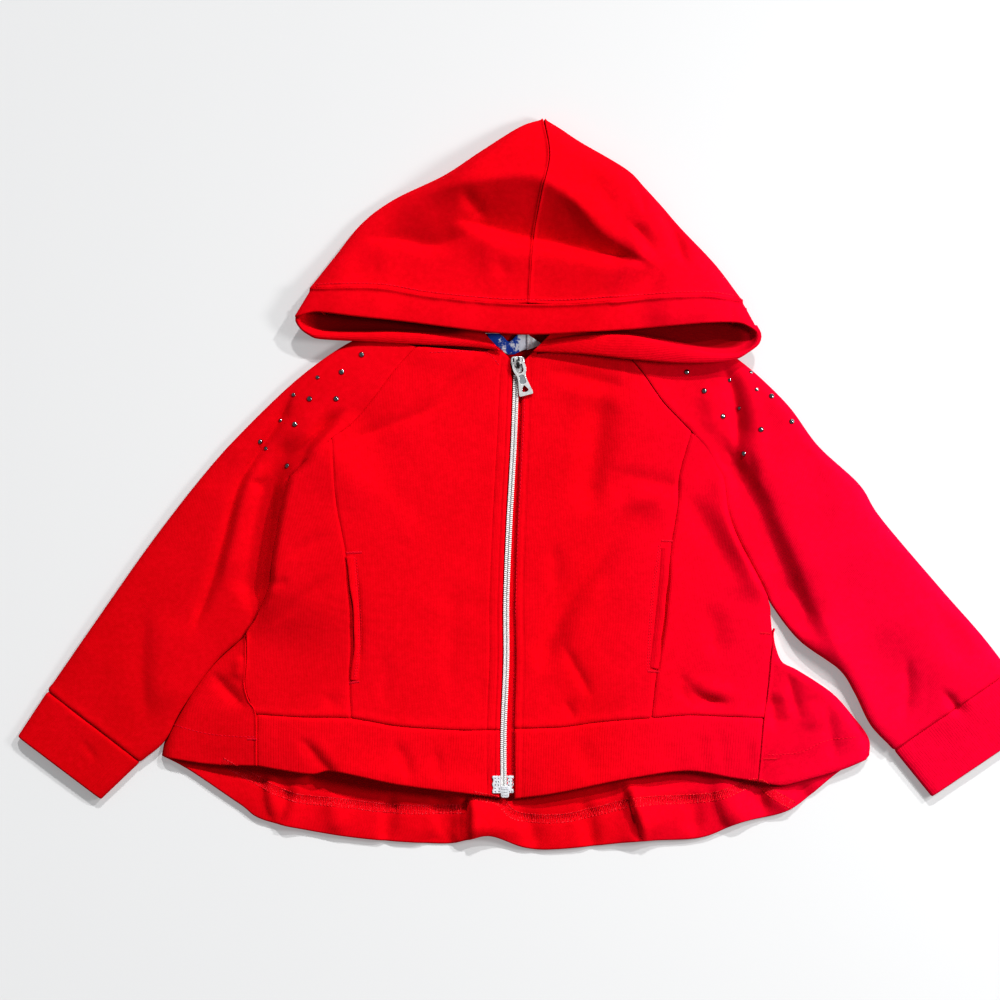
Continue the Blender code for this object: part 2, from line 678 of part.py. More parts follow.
def hinge_place():
    """The middle of the pull tab's bar, inside the slider's bridge."""
    origin = slider_frame()
    return Vector((origin.x + 0.4, origin.y + 0.6, origin.z + GAP + SLIDER["plate"] + BRIDGE["height"] / 2))


def ring(curve, points):
    spline = curve.splines.new("POLY")
    spline.points.add(len(points) - 1)
    for spot, (x, y) in zip(spline.points, points):
        spot.co = (x * MM, y * MM, 0, 1)
    spline.use_cyclic_u = True


def pull_tab():
    """A flat plate with a slot at its head for the slider's bridge, and a hole at its foot."""
    curve = bpy.data.curves.new("pull_tab", "CURVE")
    curve.dimensions = "2D"
    curve.fill_mode = "BOTH"
    curve.extrude = TAB_WALL / 2 * MM
    side = smooth([(-half, -along) for along, half in TAB_OUTLINE], 3)
    ring(curve, [tuple(spot) for spot in side] + [(-spot.x, spot.y) for spot in reversed(side)])
    start, end, half = TAB_SLOT["start"], TAB_SLOT["end"], TAB_SLOT["half_width"]
    slot = [(-half, -start), (half, -start)]
    for turn in (0, 0.6, 1.2, 1.9, 2.5, math.pi):
        slot.append((half * math.cos(turn), -(end - half) - half * math.sin(turn)))
    ring(curve, slot)
    ring(curve, [(across, -along) for along, across in TAB_HOLE])
    curve.materials.append(zip_metal())
    tab = bpy.data.objects.new("pull_tab", curve)
    collection().objects.link(tab)
    lean = Matrix.Rotation(math.radians(SLIDER["lean"]), 4, "Z")
    sag = Matrix.Rotation(math.radians(TAB_SAG), 4, "X")
    tab.matrix_world = Matrix.Translation(hinge_place() * MM) @ lean @ sag


def zip_foot():
    x, y = BOX["place"]
    middle = body_top(Vector((x, y)))
    half, length = BOX["width"] / 2, BOX["length"] / 2
    low = middle - CLOTH / 2 - GAP
    high = low + BOX["height"]
    solid_box("zip_box", (x - half, y - length, low), (x + half, y + length, high), zip_metal(), 0.9)
    film = finish("zip_film", (0.75, 0.77, 0.8), 0.35)
    over_band = RIB / 2 + GAP + FILM / 2
    for name, inner, outer, rise in (("left", -2.7, -7.6, over_band), ("right", 4.0, 7.2, -GAP)):
        rows = []
        for number in range(4):
            y = -217.5 - 13 * number / 3
            plan = [Vector((zip_x(y) + inner + (outer - inner) * step / 2, y)) for step in range(3)]
            rows.append([raised(point, body_top(point) + rise) for point in plan])
        panel(f"zip_film_{name}", rows, film, FILM)


def studs(prefix, table, sleeve):
    """Dome studs set on the sleeve's upper face, each square to the cloth under it."""
    surface = BVHTree.FromObject(sleeve, bpy.context.evaluated_depsgraph_get())
    metal = finish("stud_metal", (0.5, 0.51, 0.53), 0.2, 1.0)
    for number, (x, y, size) in enumerate(table, 1):
        touch = []
        for across, along in ((-1, 0), (1, 0), (0, -1), (0, 1), (0, 0)):
            above = Vector((x + across * size / 2, y + along * size / 2, 60)) * MM
            touch.append(surface.ray_cast(above, Vector((0, 0, -1)))[0])
        normal = (touch[1] - touch[0]).cross(touch[3] - touch[2]).normalized()
        spot = touch[4] + normal * max((point - touch[4]).dot(normal) for point in touch)
        height = 0.32 * size
        mesh = bpy.data.meshes.new(f"{prefix}_{number:02d}")
        dome = bmesh.new()
        bmesh.ops.create_cone(
            dome, cap_ends=True, segments=8,
            radius1=size / 2 * MM, radius2=size / 4 * MM, depth=height * MM,
        )
        dome.to_mesh(mesh)
        dome.free()
        stud = add(mesh.name, mesh, metal)
        centre = spot + normal * (STUD_SEAT + height / 2) * MM
        upright = normal.to_track_quat("Z", "Y").to_matrix().to_4x4()
        stud.matrix_world = Matrix.Translation(centre) @ upright


# ---------------------------------------------------------------- the jacket
def main():
    for thing in list(bpy.data.objects):
        bpy.data.objects.remove(thing)
    back_bodice()
    peplum()
    for word, side, table in (("left", LEFT, LEFT_STUDS), ("right", RIGHT, RIGHT_STUDS)):
        centre_front(f"front_{word}", side)
        side_front(f"side_front_{word}", side)
        hem_band(f"hem_band_{word}", side)
        sleeve = panel(f"sleeve_{word}", sleeve_rows(side))
        panel(f"cuff_{word}", cuff_rows(side), red_rib())
        hood_half(f"hood_{word}", side)
        hood_lip(f"hood_lip_{word}", side)
        pocket_welt(f"pocket_welt_{word}", side)
        studs(f"stud_{word}", table, sleeve)
    hood_band()
    neck_label()
    zip_parts()
    slider()
    pull_tab()
    zip_foot()


main()
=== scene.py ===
# %% [markdown]
# # A toddler's hooded zip jacket, laid flat
#
# The real jacket is cut from red sweatshirt cloth: raglan sleeves, a hood with a faced edge, two
# fronts with a zip between them, ribbed hem bands, and a longer gathered back that spreads past
# the fronts. It lies on its back on a pale table, so nearly every piece is a thin, almost flat
# sheet whose look comes from its folds, its seams and the light that rakes over it.
#
# The fixed solids are loaded first. Everything after this is built around them, in metres, with
# the hood towards +Y. The tables below are in millimetres, because that is how a maker would
# measure the jacket.

# %% Load the fixed solids
import math

import bmesh
import bpy
import numpy as np
from mathutils import Matrix, Vector
from mathutils.bvhtree import BVHTree


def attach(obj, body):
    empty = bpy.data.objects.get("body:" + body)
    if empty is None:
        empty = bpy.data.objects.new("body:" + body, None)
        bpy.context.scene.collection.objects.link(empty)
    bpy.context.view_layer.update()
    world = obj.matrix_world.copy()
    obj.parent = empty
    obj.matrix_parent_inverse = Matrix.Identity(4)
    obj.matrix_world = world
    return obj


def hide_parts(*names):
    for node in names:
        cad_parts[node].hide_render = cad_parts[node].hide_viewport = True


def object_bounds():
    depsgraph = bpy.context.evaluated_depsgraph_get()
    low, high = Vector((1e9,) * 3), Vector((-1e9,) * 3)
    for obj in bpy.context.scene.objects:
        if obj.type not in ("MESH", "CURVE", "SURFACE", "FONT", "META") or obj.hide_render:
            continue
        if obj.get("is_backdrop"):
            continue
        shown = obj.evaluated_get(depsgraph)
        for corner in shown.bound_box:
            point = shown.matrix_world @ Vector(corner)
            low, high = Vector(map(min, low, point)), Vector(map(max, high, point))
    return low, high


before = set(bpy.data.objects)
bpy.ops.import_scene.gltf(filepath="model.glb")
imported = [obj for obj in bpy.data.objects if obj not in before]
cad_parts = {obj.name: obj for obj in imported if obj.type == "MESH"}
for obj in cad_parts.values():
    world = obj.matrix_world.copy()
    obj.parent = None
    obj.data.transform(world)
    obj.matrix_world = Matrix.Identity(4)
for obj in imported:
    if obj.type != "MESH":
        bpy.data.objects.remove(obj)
cad_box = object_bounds()
MM = 0.001

# %% [markdown]
# ## Sizes
#
# The cloth is 1.6 mm thick and the doubled rib is 2.2 mm. The rest heights are where the middle
# of the upper layer floats over the lower one when no fold lifts it: cloth that has just been
# laid down holds a little air.

# %% Sizes in millimetres
CLOTH, RIB, TAPE, FILM, PRINT = 1.6, 2.2, 0.8, 0.6, 0.6  # walls
GAP = 0.3  # between pieces that lie on each other
LOW = CLOTH / 2  # middle of a layer that lies on the table
BODY_REST, HOOD_REST = 6.8, 10.5  # middle of an upper layer at rest
LEAST_ROOM = 2.6  # least height of an upper layer over the lower one
TURN, HOOD_TURN = 8, 14  # how far from a fold the cloth starts to turn down
EDGE_LEFT, EDGE_RIGHT = 3.0, (4.6, 8.0)  # from the zip to the fronts' edges, at the neck and hem
CHAIN_HEIGHT = 2.0
print("least room inside:", round(LEAST_ROOM - CLOTH, 1), "mm")

# %% [markdown]
# ## The pattern pieces' lines
#
# Each seam and outline is a short list of points that a smooth line runs through, from the neck
# down to the hem or the cuff. Both sides have the same line names, so that one function can make
# a left piece and a right one.

# %% Seams and outlines
ZIP_LINE = ((-6, 100), (-8, 41), (-10, 3), (-12, -34), (-14, -87), (-14, -132), (-16, -184),
            (-16, -234))
LEFT = {
    "out": -1,
    "raglan": ((-82, 103), (-98, 85), (-113, 65), (-129, 46), (-144, 35)),
    "back_raglan": ((-76, 113), (-96, 88), (-113, 66), (-129, 47), (-145, 34)),
    "armhole": ((-147, 32), (-158, 22), (-175, 5)),
    "princess": ((-144, 35), (-141, -12), (-134, -51), (-131, -87), (-130, -117), (-131, -150),
     (-130, -174)),
    "body_edge": ((-175, 5), (-182, -27), (-187, -57), (-189, -76), (-198, -97), (-208, -111)),
    "side_seam": ((-208, -111), (-208, -132), (-209, -148), (-206, -160), (-200, -171)),
    "band_side": ((-200, -171), (-200, -210)),
    "peplum_fold": ((-209, -112), (-232, -133), (-245, -149), (-257, -168), (-268, -188),
     (-272, -203)),
    "flap_hem": ((-200, -210), (-236, -209), (-270, -204)),
    "band_top": ((-200, -171), (-169, -173), (-130, -174), (-94, -180), (-49, -183), (-19, -183)),
    "band_foot": ((-200, -210), (-161, -216), (-142, -214), (-94, -224), (-41, -231), (-19, -234)),
    "sleeve_fold": ((-106, 110), (-128, 108), (-169, 80), (-214, 37), (-244, 3), (-281, -45),
     (-319, -99), (-357, -154)),
    "underarm": ((-175, 5), (-182, -27), (-187, -57), (-189, -76), (-198, -97), (-209, -112),
     (-232, -133), (-257, -168), (-270, -192), (-288, -207)),
    "cuff_end": ((-318, -235), (-379, -189)),
    "hood_outline": ((-160, 147), (-142, 170), (-122, 195), (-98, 213), (-60, 231), (-34, 248),
     (-4, 267), (13.5, 273)),
    "hood_foot": ((-157, 146), (-109, 146), (-71, 140), (-19, 135), (3, 135)),
    "hood_neck": ((-164, 132), (-150, 122), (-130, 114), (-106, 111.4), (-76, 113.6), (2, 113.6)),
    "lip_free": ((-169.5, 126), (-171.3, 122.5), (-167.5, 116.5), (-161, 111.5), (-153, 108.6),
     (-123, 106.8), (-93, 105), (-40, 102.6), (-18.5, 99.6)),
    "lip_crest": ((-166, 127), (-168.4, 122), (-166, 117), (-161, 114), (-152, 112.2),
     (-123, 112.4), (-93, 112.6), (-42, 109.2), (-23, 104.4)),
    "lip_inside": ((-163, 140), (-150, 136), (-128, 132), (-90, 129), (-55, 127), (-34, 118)),
    "lip_neck": ((-152, 129), (-138, 119), (-120, 113), (-106, 111), (-94, 107.8), (-83, 104.2),
     (-50, 101.2), (-22, 97.6)),
    "pocket": ((-134, -54), (-131, -87), (-130, -117), (-131, -146)),
}
RIGHT = {
    "out": 1,
    "raglan": ((70, 103), (86, 87), (103, 63), (116, 49), (125, 40)),
    "back_raglan": ((66, 113), (85, 89), (103, 64), (116, 50), (126, 39)),
    "armhole": ((127.5, 36.4), (136, 27), (148, 5)),
    "princess": ((125, 40), (116, 7), (115, -14), (110, -45), (107, -75), (104, -105), (98, -148),
     (95, -174)),
    "body_edge": ((148, 5), (150, -19), (158, -42), (174, -73), (181, -90), (184, -108)),
    "side_seam": ((184, -108), (184, -122), (182, -146), (180, -160), (178, -174)),
    "band_side": ((178, -174), (174, -222)),
    "peplum_fold": ((185.4, -110), (187.4, -122), (193, -134), (206, -141), (229, -156),
     (244, -172), (257, -189), (258, -203)),
    "flap_hem": ((174, -222), (191, -225), (206, -222), (235, -214), (255, -206)),
    "band_top": ((178, -174), (150, -173), (124, -172), (95, -174), (56, -177), (26, -181),
     (-8, -182)),
    "band_foot": ((174, -222), (154, -219), (120, -214), (75, -220), (26, -230), (-8, -235)),
    "sleeve_fold": ((100, 108), (130, 106), (159, 94), (195, 61), (219, 29), (250, 0), (266, -25),
     (311, -78), (341, -112), (362, -139)),
    "underarm": ((148, 5), (151, -19), (160, -42), (177, -74), (186, -92), (206, -117), (235, -138),
     (247, -156), (259, -180), (276, -198)),
    "cuff_end": ((305, -233), (379, -183)),
    "hood_outline": ((161, 138), (142, 164), (116, 192), (90, 221), (75, 236), (41, 256), (26, 266),
     (14.5, 273)),
    "hood_foot": ((159, 137), (131, 140), (86, 138), (30, 134), (3, 135)),
    "hood_neck": ((169, 122), (155, 114), (130, 108.6), (100, 109.6), (66, 113.6), (2, 113.6)),
    "lip_free": ((173, 118), (176, 111.5), (174, 104.6), (166, 98.6), (159, 94.2), (146, 91.1),
     (116, 90.4), (86, 92.6), (71, 94.1), (41, 97.4), (5.5, 99.2)),
    "lip_crest": ((169, 119), (172.8, 112), (171.6, 105.4), (165, 99.8), (155, 97), (140, 97.2),
     (124, 100), (99, 106), (72, 110.6), (41, 110), (13, 106.2)),
    "lip_inside": ((165, 131), (150, 130), (128, 128), (90, 126), (52, 124), (24, 118)),
    "lip_neck": ((158, 122), (145, 116), (126, 112), (101, 109.4), (86, 106.6), (71, 104.2),
     (40, 101.2), (9, 97.4)),
    "pocket": ((109, -47), (107, -75), (104, -105), (100, -138)),
}
BAND_SEAM = ((-158, 146), (-109, 146), (-71, 140), (-19, 135), (30, 134), (86, 138), (131, 140),
             (160, 137))
BAND_EDGE = ((-171, 124.5), (-167, 125.6), (-161, 127.6), (-153, 128.2), (-123, 124.6),
             (-93, 121.6), (-49, 116), (-18, 112.4), (11, 111.6), (56, 114), (86, 116),
             (131, 119.8), (157, 120.4), (168, 116.6), (173.5, 112.5))
HEM_LINE = ((-272, -203), (-251, -214), (-214, -239), (-193, -252), (-131, -264), (-64, -269),
            (-44, -266), (-26, -263), (0, -272), (26, -273), (86, -267), (131, -264.5), (161, -253),
            (199, -243), (235, -215), (258, -203))
WAIST = ((-207, -111.3), (183.5, -108.3))
HOOD_SEAM = ((3, 135), (6, 183), (12, 217), (18, 245), (14, 273))
SIDES = (("left", LEFT), ("right", RIGHT))
print("lines:", sum(len(side) - 1 for side in (LEFT, RIGHT)))


# %% [markdown]
# ## Lines and distances
#
# A Catmull-Rom curve passes through all its points, which makes it the natural choice for a seam
# that was measured at a few places. Numpy works out whole arrays of points in one go, so tens of
# thousands of cloth points take a moment.

# %% Smooth lines
def apart(here, there):
    """Distances between two arrays of points."""
    return np.linalg.norm(here - there, axis=-1)


def smooth(points, steps=10):
    """A finer line through the points."""
    knots = np.array(points, float)
    knots = np.vstack([2 * knots[0] - knots[1], knots, 2 * knots[-1] - knots[-2]])
    t = (np.arange(steps) / steps)[:, None]
    runs = []
    for before, start, end, after in zip(knots, knots[1:], knots[2:], knots[3:]):
        bend = (2 * before - 5 * start + 4 * end - after) * t**2
        bend = bend + (3 * start - before - 3 * end + after) * t**3
        runs.append(0.5 * (2 * start + (end - before) * t + bend))
    return np.vstack([*runs, knots[-2]])


def lengths_of(line):
    return np.concatenate([[0.0], np.cumsum(apart(line[1:], line[:-1]))])


def sideways_of(way):
    """The directions a quarter turn to the left of the given ones."""
    way = way / np.linalg.norm(way, axis=1, keepdims=True)
    return np.column_stack([-way[:, 1], way[:, 0]])


def along(points, places, out=0.0):
    """Points on the smooth line at places from 0 to 1, or that many, moved sideways by out."""
    line = smooth(points)
    reach = lengths_of(line)
    places = np.linspace(0, 1, places) if np.isscalar(places) else np.asarray(places)
    spots = np.column_stack([np.interp(places * reach[-1], reach, axis) for axis in line.T])
    return spots + out * sideways_of(np.gradient(spots, places, axis=0))


def beside(path, plan):
    """For each point: its distance to the path, whether it lies to the left, and how far along."""
    line = smooth(path, 6)
    reach = lengths_of(line)
    distance = np.full(len(plan), np.inf)
    left = np.zeros(len(plan), bool)
    way = np.zeros(len(plan))
    for start, end, before, after in zip(line, line[1:], reach, reach[1:]):
        run = end - start
        share = np.clip((plan - start) @ run / (run @ run), 0, 1)
        off = plan - start - share[:, None] * run
        here = np.hypot(off[:, 0], off[:, 1])
        nearer = here < distance
        distance[nearer] = here[nearer]
        left[nearer] = (run[0] * off[:, 1] - run[1] * off[:, 0])[nearer] > 0
        way[nearer] = (before + share * (after - before))[nearer]
    return distance, left, way, reach[-1]


def ease(share):
    """0 to 1 with a soft start and a soft end."""
    share = np.clip(share, 0, 1)
    return share * share * (3 - 2 * share)


print("zip line:", round(lengths_of(smooth(ZIP_LINE))[-1]), "mm")

# %% [markdown]
# ## Folds, one by one
#
# Cloth that was laid down by hand has few folds, each with its own place. So every fold is one row
# of a table: how much it lifts (or sinks) the cloth, how far it reaches to the left and to the
# right of its path, over what length it fades at its ends, and the path. A last number, where
# there is one, makes it sharper than a round swell. A simulation would give folds too, but not
# these ones.

# %% The folds
EDGE_LIFTS = {
    -1: (9.4, (62, 9), 48, ((-124, 56), (-144, 37), (-158, 22), (-176, 4), (-184, -27), (-189, -57),
     (-191, -76), (-200, -97), (-210, -112))),
    1: (1.8, (7, 16), 14, ((132, 30), (148, 4), (152, -19), (160, -42), (175, -73), (182, -92))),
}
POCKET_MOUTHS = {
    -1: (-3.6, (3, 1.6), 7, ((-130, -56), (-127, -84), (-125.5, -116), (-128, -146)), 1.8),
    1: (-1.3, (1.4, 1.8), 7, ((109, -50), (107, -75), (104, -105), (100, -138)), 1.8),
}
BODY_FOLDS = (
    ("left edge lift", *EDGE_LIFTS[-1]),
    ("right edge lift", *EDGE_LIFTS[1]),
    ("left pocket mouth", *POCKET_MOUTHS[-1]),
    ("right pocket mouth", *POCKET_MOUTHS[1]),
    ("hem bands", 3.4, (34, 34), 0, ((-196, -196), (-20, -212), (172, -200))),
    ("left band foot", 3.6, (14, 14), 24, ((-158, -216), (-128, -218), (-94, -224), (-41, -231),
     (-19, -234))),
    ("right band foot", 2.2, (14, 14), 24, ((-8, -235), (26, -230), (75, -220), (120, -214))),
    ("left front tilt", 5.4, (70, 70), 0, ((-150, -190), (-128, -120), (-120, -20), (-100, 50))),
    ("left chest swell", 1.6, (44, 44), 0, ((-90, 40), (-84, -60), (-88, -140))),
    ("right chest swell", 2.8, (34, 40), 0, ((76, 50), (80, -40), (78, -140))),
    ("under the slider", -0.63, (16, 16), 0, ((-5.2, 112), (-6.4, 70))),
    ("left neck corner", 1.6, (14, 10), 10, ((-92, 96), (-40, 96), (-22, 98))),
    # left shoulder, the body's left edge and the left sleeve
    ("beside the left edge", -6.4, (6, 15), 12, ((-158, 38), (-176, 16), (-188, -2), (-194, -40),
     (-199, -76), (-208, -98))),
    ("left armpit crease", -5.4, (4, 6), 8, ((-132, 58), (-148, 45), (-160, 30), (-167, 15),
     (-175, 3)), 1.6),
    ("left armpit ridge", 1.8, (6, 8), 8, ((-146, 60), (-160, 44), (-172, 26), (-178, 12))),
    ("left sleeve crease", -4.2, (4.5, 4), 20, ((-172, 73), (-184, 48), (-198, 27), (-212, 3),
     (-219, -18), (-226, -45), (-237, -79), (-250, -113)), 1.6),
    ("left sleeve ridge", 2.4, (11, 5), 18, ((-192, 24), (-205, 2), (-212, -20), (-218, -46),
     (-228, -80))),
    ("left sleeve crossing", -2.4, (4, 4), 6, ((-206, 5), (-198, 0), (-186, 2)), 1.6),
    ("left forearm crease", -1.5, (6, 9), 18, ((-283, -88), (-286, -130), (-283, -180)), 1.6),
    ("left forearm swell", 1.8, (22, 14), 20, ((-268, -90), (-272, -130), (-270, -178))),
    ("left sleeve head dip", -0.8, (16, 16), 18, ((-216, 30), (-246, -6))),
    ("left cuff dimple", -0.7, (9, 9), 5, ((-322, -196), (-330, -202))),
    # right sleeve
    ("right sleeve swell", 6.0, (36, 36), 0, ((196, 52), (252, -36), (322, -144))),
    ("right sleeve inner swell", 1.0, (8, 8), 16, ((160, 8), (170, -24), (186, -64))),
    ("right head crease", -5.4, (7, 5.5), 12, ((146, 92), (155, 72), (159, 47), (159, 16)), 1.8),
    ("right head ridge", 2.2, (7, 12), 14, ((158, 88), (167, 66), (172, 44), (175, 24), (186, 6))),
    ("right head shelf", 2.0, (8, 8), 8, ((136, 78), (140, 56), (144, 34))),
    ("right armpit dent", -3.0, (13, 10), 8, ((150, 8), (163, 7), (178, 8))),
    ("right sleeve valley", -5.4, (11, 20), 14, ((144, 42), (154, 17), (171, -14), (179, -34),
     (193, -64), (202, -84), (218, -118)), 1.9),
    ("right sleeve ridge", 5.2, (30, 9), (30, 16), ((154, 40), (164, 20), (183, -8), (190, -26),
     (205, -58), (214, -82), (231, -117), (241, -142)), 1.6),
    ("right elbow crease", -2.8, (5, 5), 12, ((285, -124), (286, -156), (281, -184)), 1.7),
    ("right forearm dip", -1.8, (11, 9), 14, ((310, -92), (322, -122), (334, -138))),
    ("right cuff curl", -3.4, (3.5, 4), 4, ((311, -152), (318, -161), (324, -168), (330, -160)),
     1.6),
    ("right sleeve head dip", -1.6, (13, 13), 14, ((203, 34), (214, 4), (228, -16))),
    # left front
    ("left neck drag", -1.7, (4, 5), 16, ((-28, 94), (-46, 77), (-69, 57), (-104, 43), (-138, 30)),
     1.6),
    ("left neck drag swell", 0.8, (8, 8), 16, ((-34, 100), (-56, 82), (-86, 62))),
    ("left side drag", -1.6, (5, 5), 10, ((-136, -63), (-160, -80), (-192, -108)), 1.7),
    ("left side drag above", -1.0, (5, 5), 10, ((-142, -36), (-164, -46), (-182, -56)), 1.7),
    ("left edge tuck", -1.4, (3.5, 3.5), 3, ((-192, -72), (-184, -74), (-175, -70)), 1.7),
    ("left front soft fold", -0.8, (7, 7), 22, ((-55, -66), (-56, -168))),
    ("left front soft fold low", -0.7, (6, 6), 12, ((-104, -122), (-105, -168))),
    ("left front near zip", -0.7, (4, 4), 8, ((-32, -142), (-32, -174))),
    ("left band pucker", -1.0, (5, 4), 6, ((-150, -156), (-140, -168))),
    ("left band crease", -2.2, (4, 6), 8, ((-172, -186), (-160, -197), (-147, -212), (-134, -222)),
     1.6),
    ("left band crease ridge", 1.0, (7, 5), 8, ((-160, -188), (-148, -202), (-136, -214))),
    ("left band crease inner", -1.7, (5, 6), 7, ((-100, -189), (-90, -206), (-85, -226))),
    ("left band soft crease", -1.0, (4, 5), 6, ((-68, -194), (-62, -226))),
    ("left chest dip", -0.6, (14, 14), 18, ((-106, 6), (-100, -40))),
    # right front
    ("right chest fold", -3.8, (11, 12), 18, ((60, 78), (54, 40), (47, -28)), 1.9),
    ("right bust drag", -2.2, (7, 9), 9, ((58, 12), (92, 3), (124, -4)), 1.7),
    ("right bust ridge", 1.2, (9, 12), 9, ((66, -8), (94, -14), (124, -18))),
    ("right bust spot", -1.4, (8, 8), 5, ((62, 8), (80, -14))),
    ("right side slope", 3.8, (46, 12), 24, ((144, 20), (157, -24), (170, -60), (179, -94))),
    ("right side drag", -2.2, (11, 9), 14, ((117, -4), (134, -30), (150, -56), (168, -82)), 1.8),
    ("right side drag ridge", 1.0, (8, 8), 14, ((128, -2), (148, -28), (166, -60))),
    ("right belly drag", -3.7, (9, 9), 22, ((104, -8), (73, -34), (49, -65), (26, -98), (10, -146)),
     1.8),
    ("right belly streak", -1.3, (6, 6), 14, ((22, -40), (23, -84))),
    ("right belly crossing", -1.9, (4, 4), 12, ((27, -116), (36, -134), (45, -150), (52, -164)),
     1.6),
    ("right belly ridge", 1.6, (7, 9), 14, ((60, -66), (44, -94), (30, -122))),
    ("right belly foot", -1.6, (4, 4), 6, ((29, -160), (38, -178)), 1.7),
    ("right side fold", -2.2, (9, 8), 12, ((136, -86), (142, -112), (146, -136))),
    ("right curl", -4.6, (4, 4.5), 7, ((117, -136), (118, -149), (123, -157), (135, -162),
     (158, -164)), 1.7),
    ("right curl ridge", 2.0, (6, 6), 9, ((124, -142), (138, -152), (160, -156))),
    ("right band crease", -0.9, (6, 6), 8, ((132, -184), (132, -214))),
    ("right band crease side", -0.8, (5, 6), 8, ((144, -180), (150, -216))),
    ("right band crease outer", -0.7, (5, 5), 8, ((166, -190), (168, -216))),
    ("right band crease inner", -1.0, (8, 8), 10, ((40, -186), (52, -226))),
    ("right neck fold", -2.2, (6, 8), 9, ((14, 86), (44, 80), (84, 70)), 1.7),
    ("right neck ridge", 1.3, (8, 12), 9, ((22, 74), (50, 66), (78, 56))),
    # the flaps of the back that show beside the fronts
    ("left flap fold", -2.6, (5, 6), 8, ((-236, -138), (-226, -150), (-214, -162), (-206, -168)),
     1.7),
    ("left flap strip", 1.6, (5, 5), 8, ((-214, -126), (-213, -148))),
    ("right flap fold", -3.0, (5, 4.5), 8, ((196, -138), (200, -156), (206, -178)), 1.7),
    ("right flap dent", -4.6, (8, 5), 7, ((184, -154), (186, -172), (187, -186)), 1.8),
    ("right flap swell", 2.0, (9, 9), 10, ((214, -160), (218, -186))),
    ("right flap edge fold", -2.4, (5, 5), 9, ((226, -162), (229, -186), (234, -210)), 1.7),
)
HOOD_FOLDS = (
    ("right band lift", 4.5, (44, 22), 24, ((84, 129), (126, 128), (160, 123))),
    ("left band lift", 2.4, (40, 22), 24, ((-160, 128), (-126, 128), (-90, 124))),
    ("lip roll", 7.2, (38, 26), 0, ((-165, 130), (-60, 121), (10, 117), (80, 119), (166, 120))),
    ("crown ridge", 15.2, (30, 30), (72, 22), ((-96, 210), (-66, 219), (-42, 225), (-24, 227),
     (-8, 229), (8, 228), (22, 221), (40, 207), (58, 187), (86, 170), (104, 158)), 1.05),
    ("crown back", 2.6, (26, 26), 14, ((-96, 190), (-40, 238), (14, 252), (60, 226), (110, 180))),
    ("deep valley", -11.6, (24, 5.5), 20, ((-54, 198), (-34, 194), (-11, 186.5), (11, 182.5),
     (26, 179.5), (56, 172.5), (92, 165)), 1.3),
    ("valley's ridge", 2.4, (5, 24), 18, ((-44, 190), (6, 174), (56, 166), (96, 157))),
    ("left valley", -3.6, (9, 4), 14, ((-124, 185), (-110, 183.5), (-94, 183), (-70, 178.4),
     (-52, 183), (-38, 192)), 1.5),
    ("left valley's ridge", 0.8, (6, 18), 16, ((-126, 171), (-94, 173), (-70, 166), (-34, 174))),
    ("fork", -2.6, (6, 5), 8, ((-48, 222), (-40, 210), (-28, 198))),
    ("right diagonal ridge", 2.4, (10, 6), 16, ((22, 224), (44, 207), (66, 187), (92, 171))),
    ("right crease", -5.6, (7, 4.6), 12, ((100, 208), (112, 186), (120, 160)), 1.7),
    ("right inner crease", -4.6, (6, 4), 9, ((76, 196), (88, 184), (98, 168)), 1.7),
    ("right top crease", -2.8, (4.6, 3.6), 8, ((78, 232), (86, 216), (90, 200)), 1.7),
    ("crown crease", -1.4, (7, 6), 10, ((46, 232), (60, 214), (66, 198))),
    ("left flank dip", -1.2, (12, 12), 14, ((-136, 160), (-100, 158))),
    ("middle pucker", -1.2, (6, 6), 8, ((-22, 170), (-12, 152))),
)
LOWER_FOLDS = (
    ("left pleat", 3.2, (9, 9), 0, ((-150, -150), (-182, -266))),
    ("middle pleat", 3.8, (8, 8), 0, ((-56, -150), (-44, -274))),
    ("right pleat", 3.8, (9, 9), 0, ((60, -150), (86, -274))),
    ("outer right pleat", 3.0, (8, 8), 0, ((120, -150), (166, -262))),
    ("left hood tip", 3.6, (20, 20), 0, ((-172, 128), (-162, 136))),
    ("right hood tip", 3.6, (20, 20), 0, ((175, 118), (164, 128))),
)
print("folds:", len(BODY_FOLDS) + len(HOOD_FOLDS) + len(LOWER_FOLDS))

# %% [markdown]
# ## How high the cloth lies
#
# Each fold adds a bell-shaped swell or trough, and a little smooth random unevenness keeps the
# flat parts from looking ironed. The same functions give the height of every upper piece, so two
# pieces that are sewn together meet at the same height.

# %% Heights
def fold_height(plan, rise, reach, fade, path, sharp=2):
    """One fold. sharp is 2 for a round swell, and near 1 for a crease with a crisp top."""
    low, high = np.min(path, axis=0) - 4 * max(reach), np.max(path, axis=0) + 4 * max(reach)
    near = np.all((plan > low) & (plan < high), axis=1)
    height = np.zeros(len(plan))
    if near.any():
        distance, left, way, length = beside(path, plan[near])
        least = min(0.36 * length, 26)
        first, last = np.maximum(fade, least) if isinstance(fade, tuple) else [max(fade, least)] * 2
        ends = ease(np.minimum(way / first, (length - way) / last)) if fade else np.ones(len(way))
        wide = np.where(left, *reach) * (0.5 + 0.5 * ends)
        height[near] = rise * ends * np.exp(-((distance / wide) ** sharp))
    return height


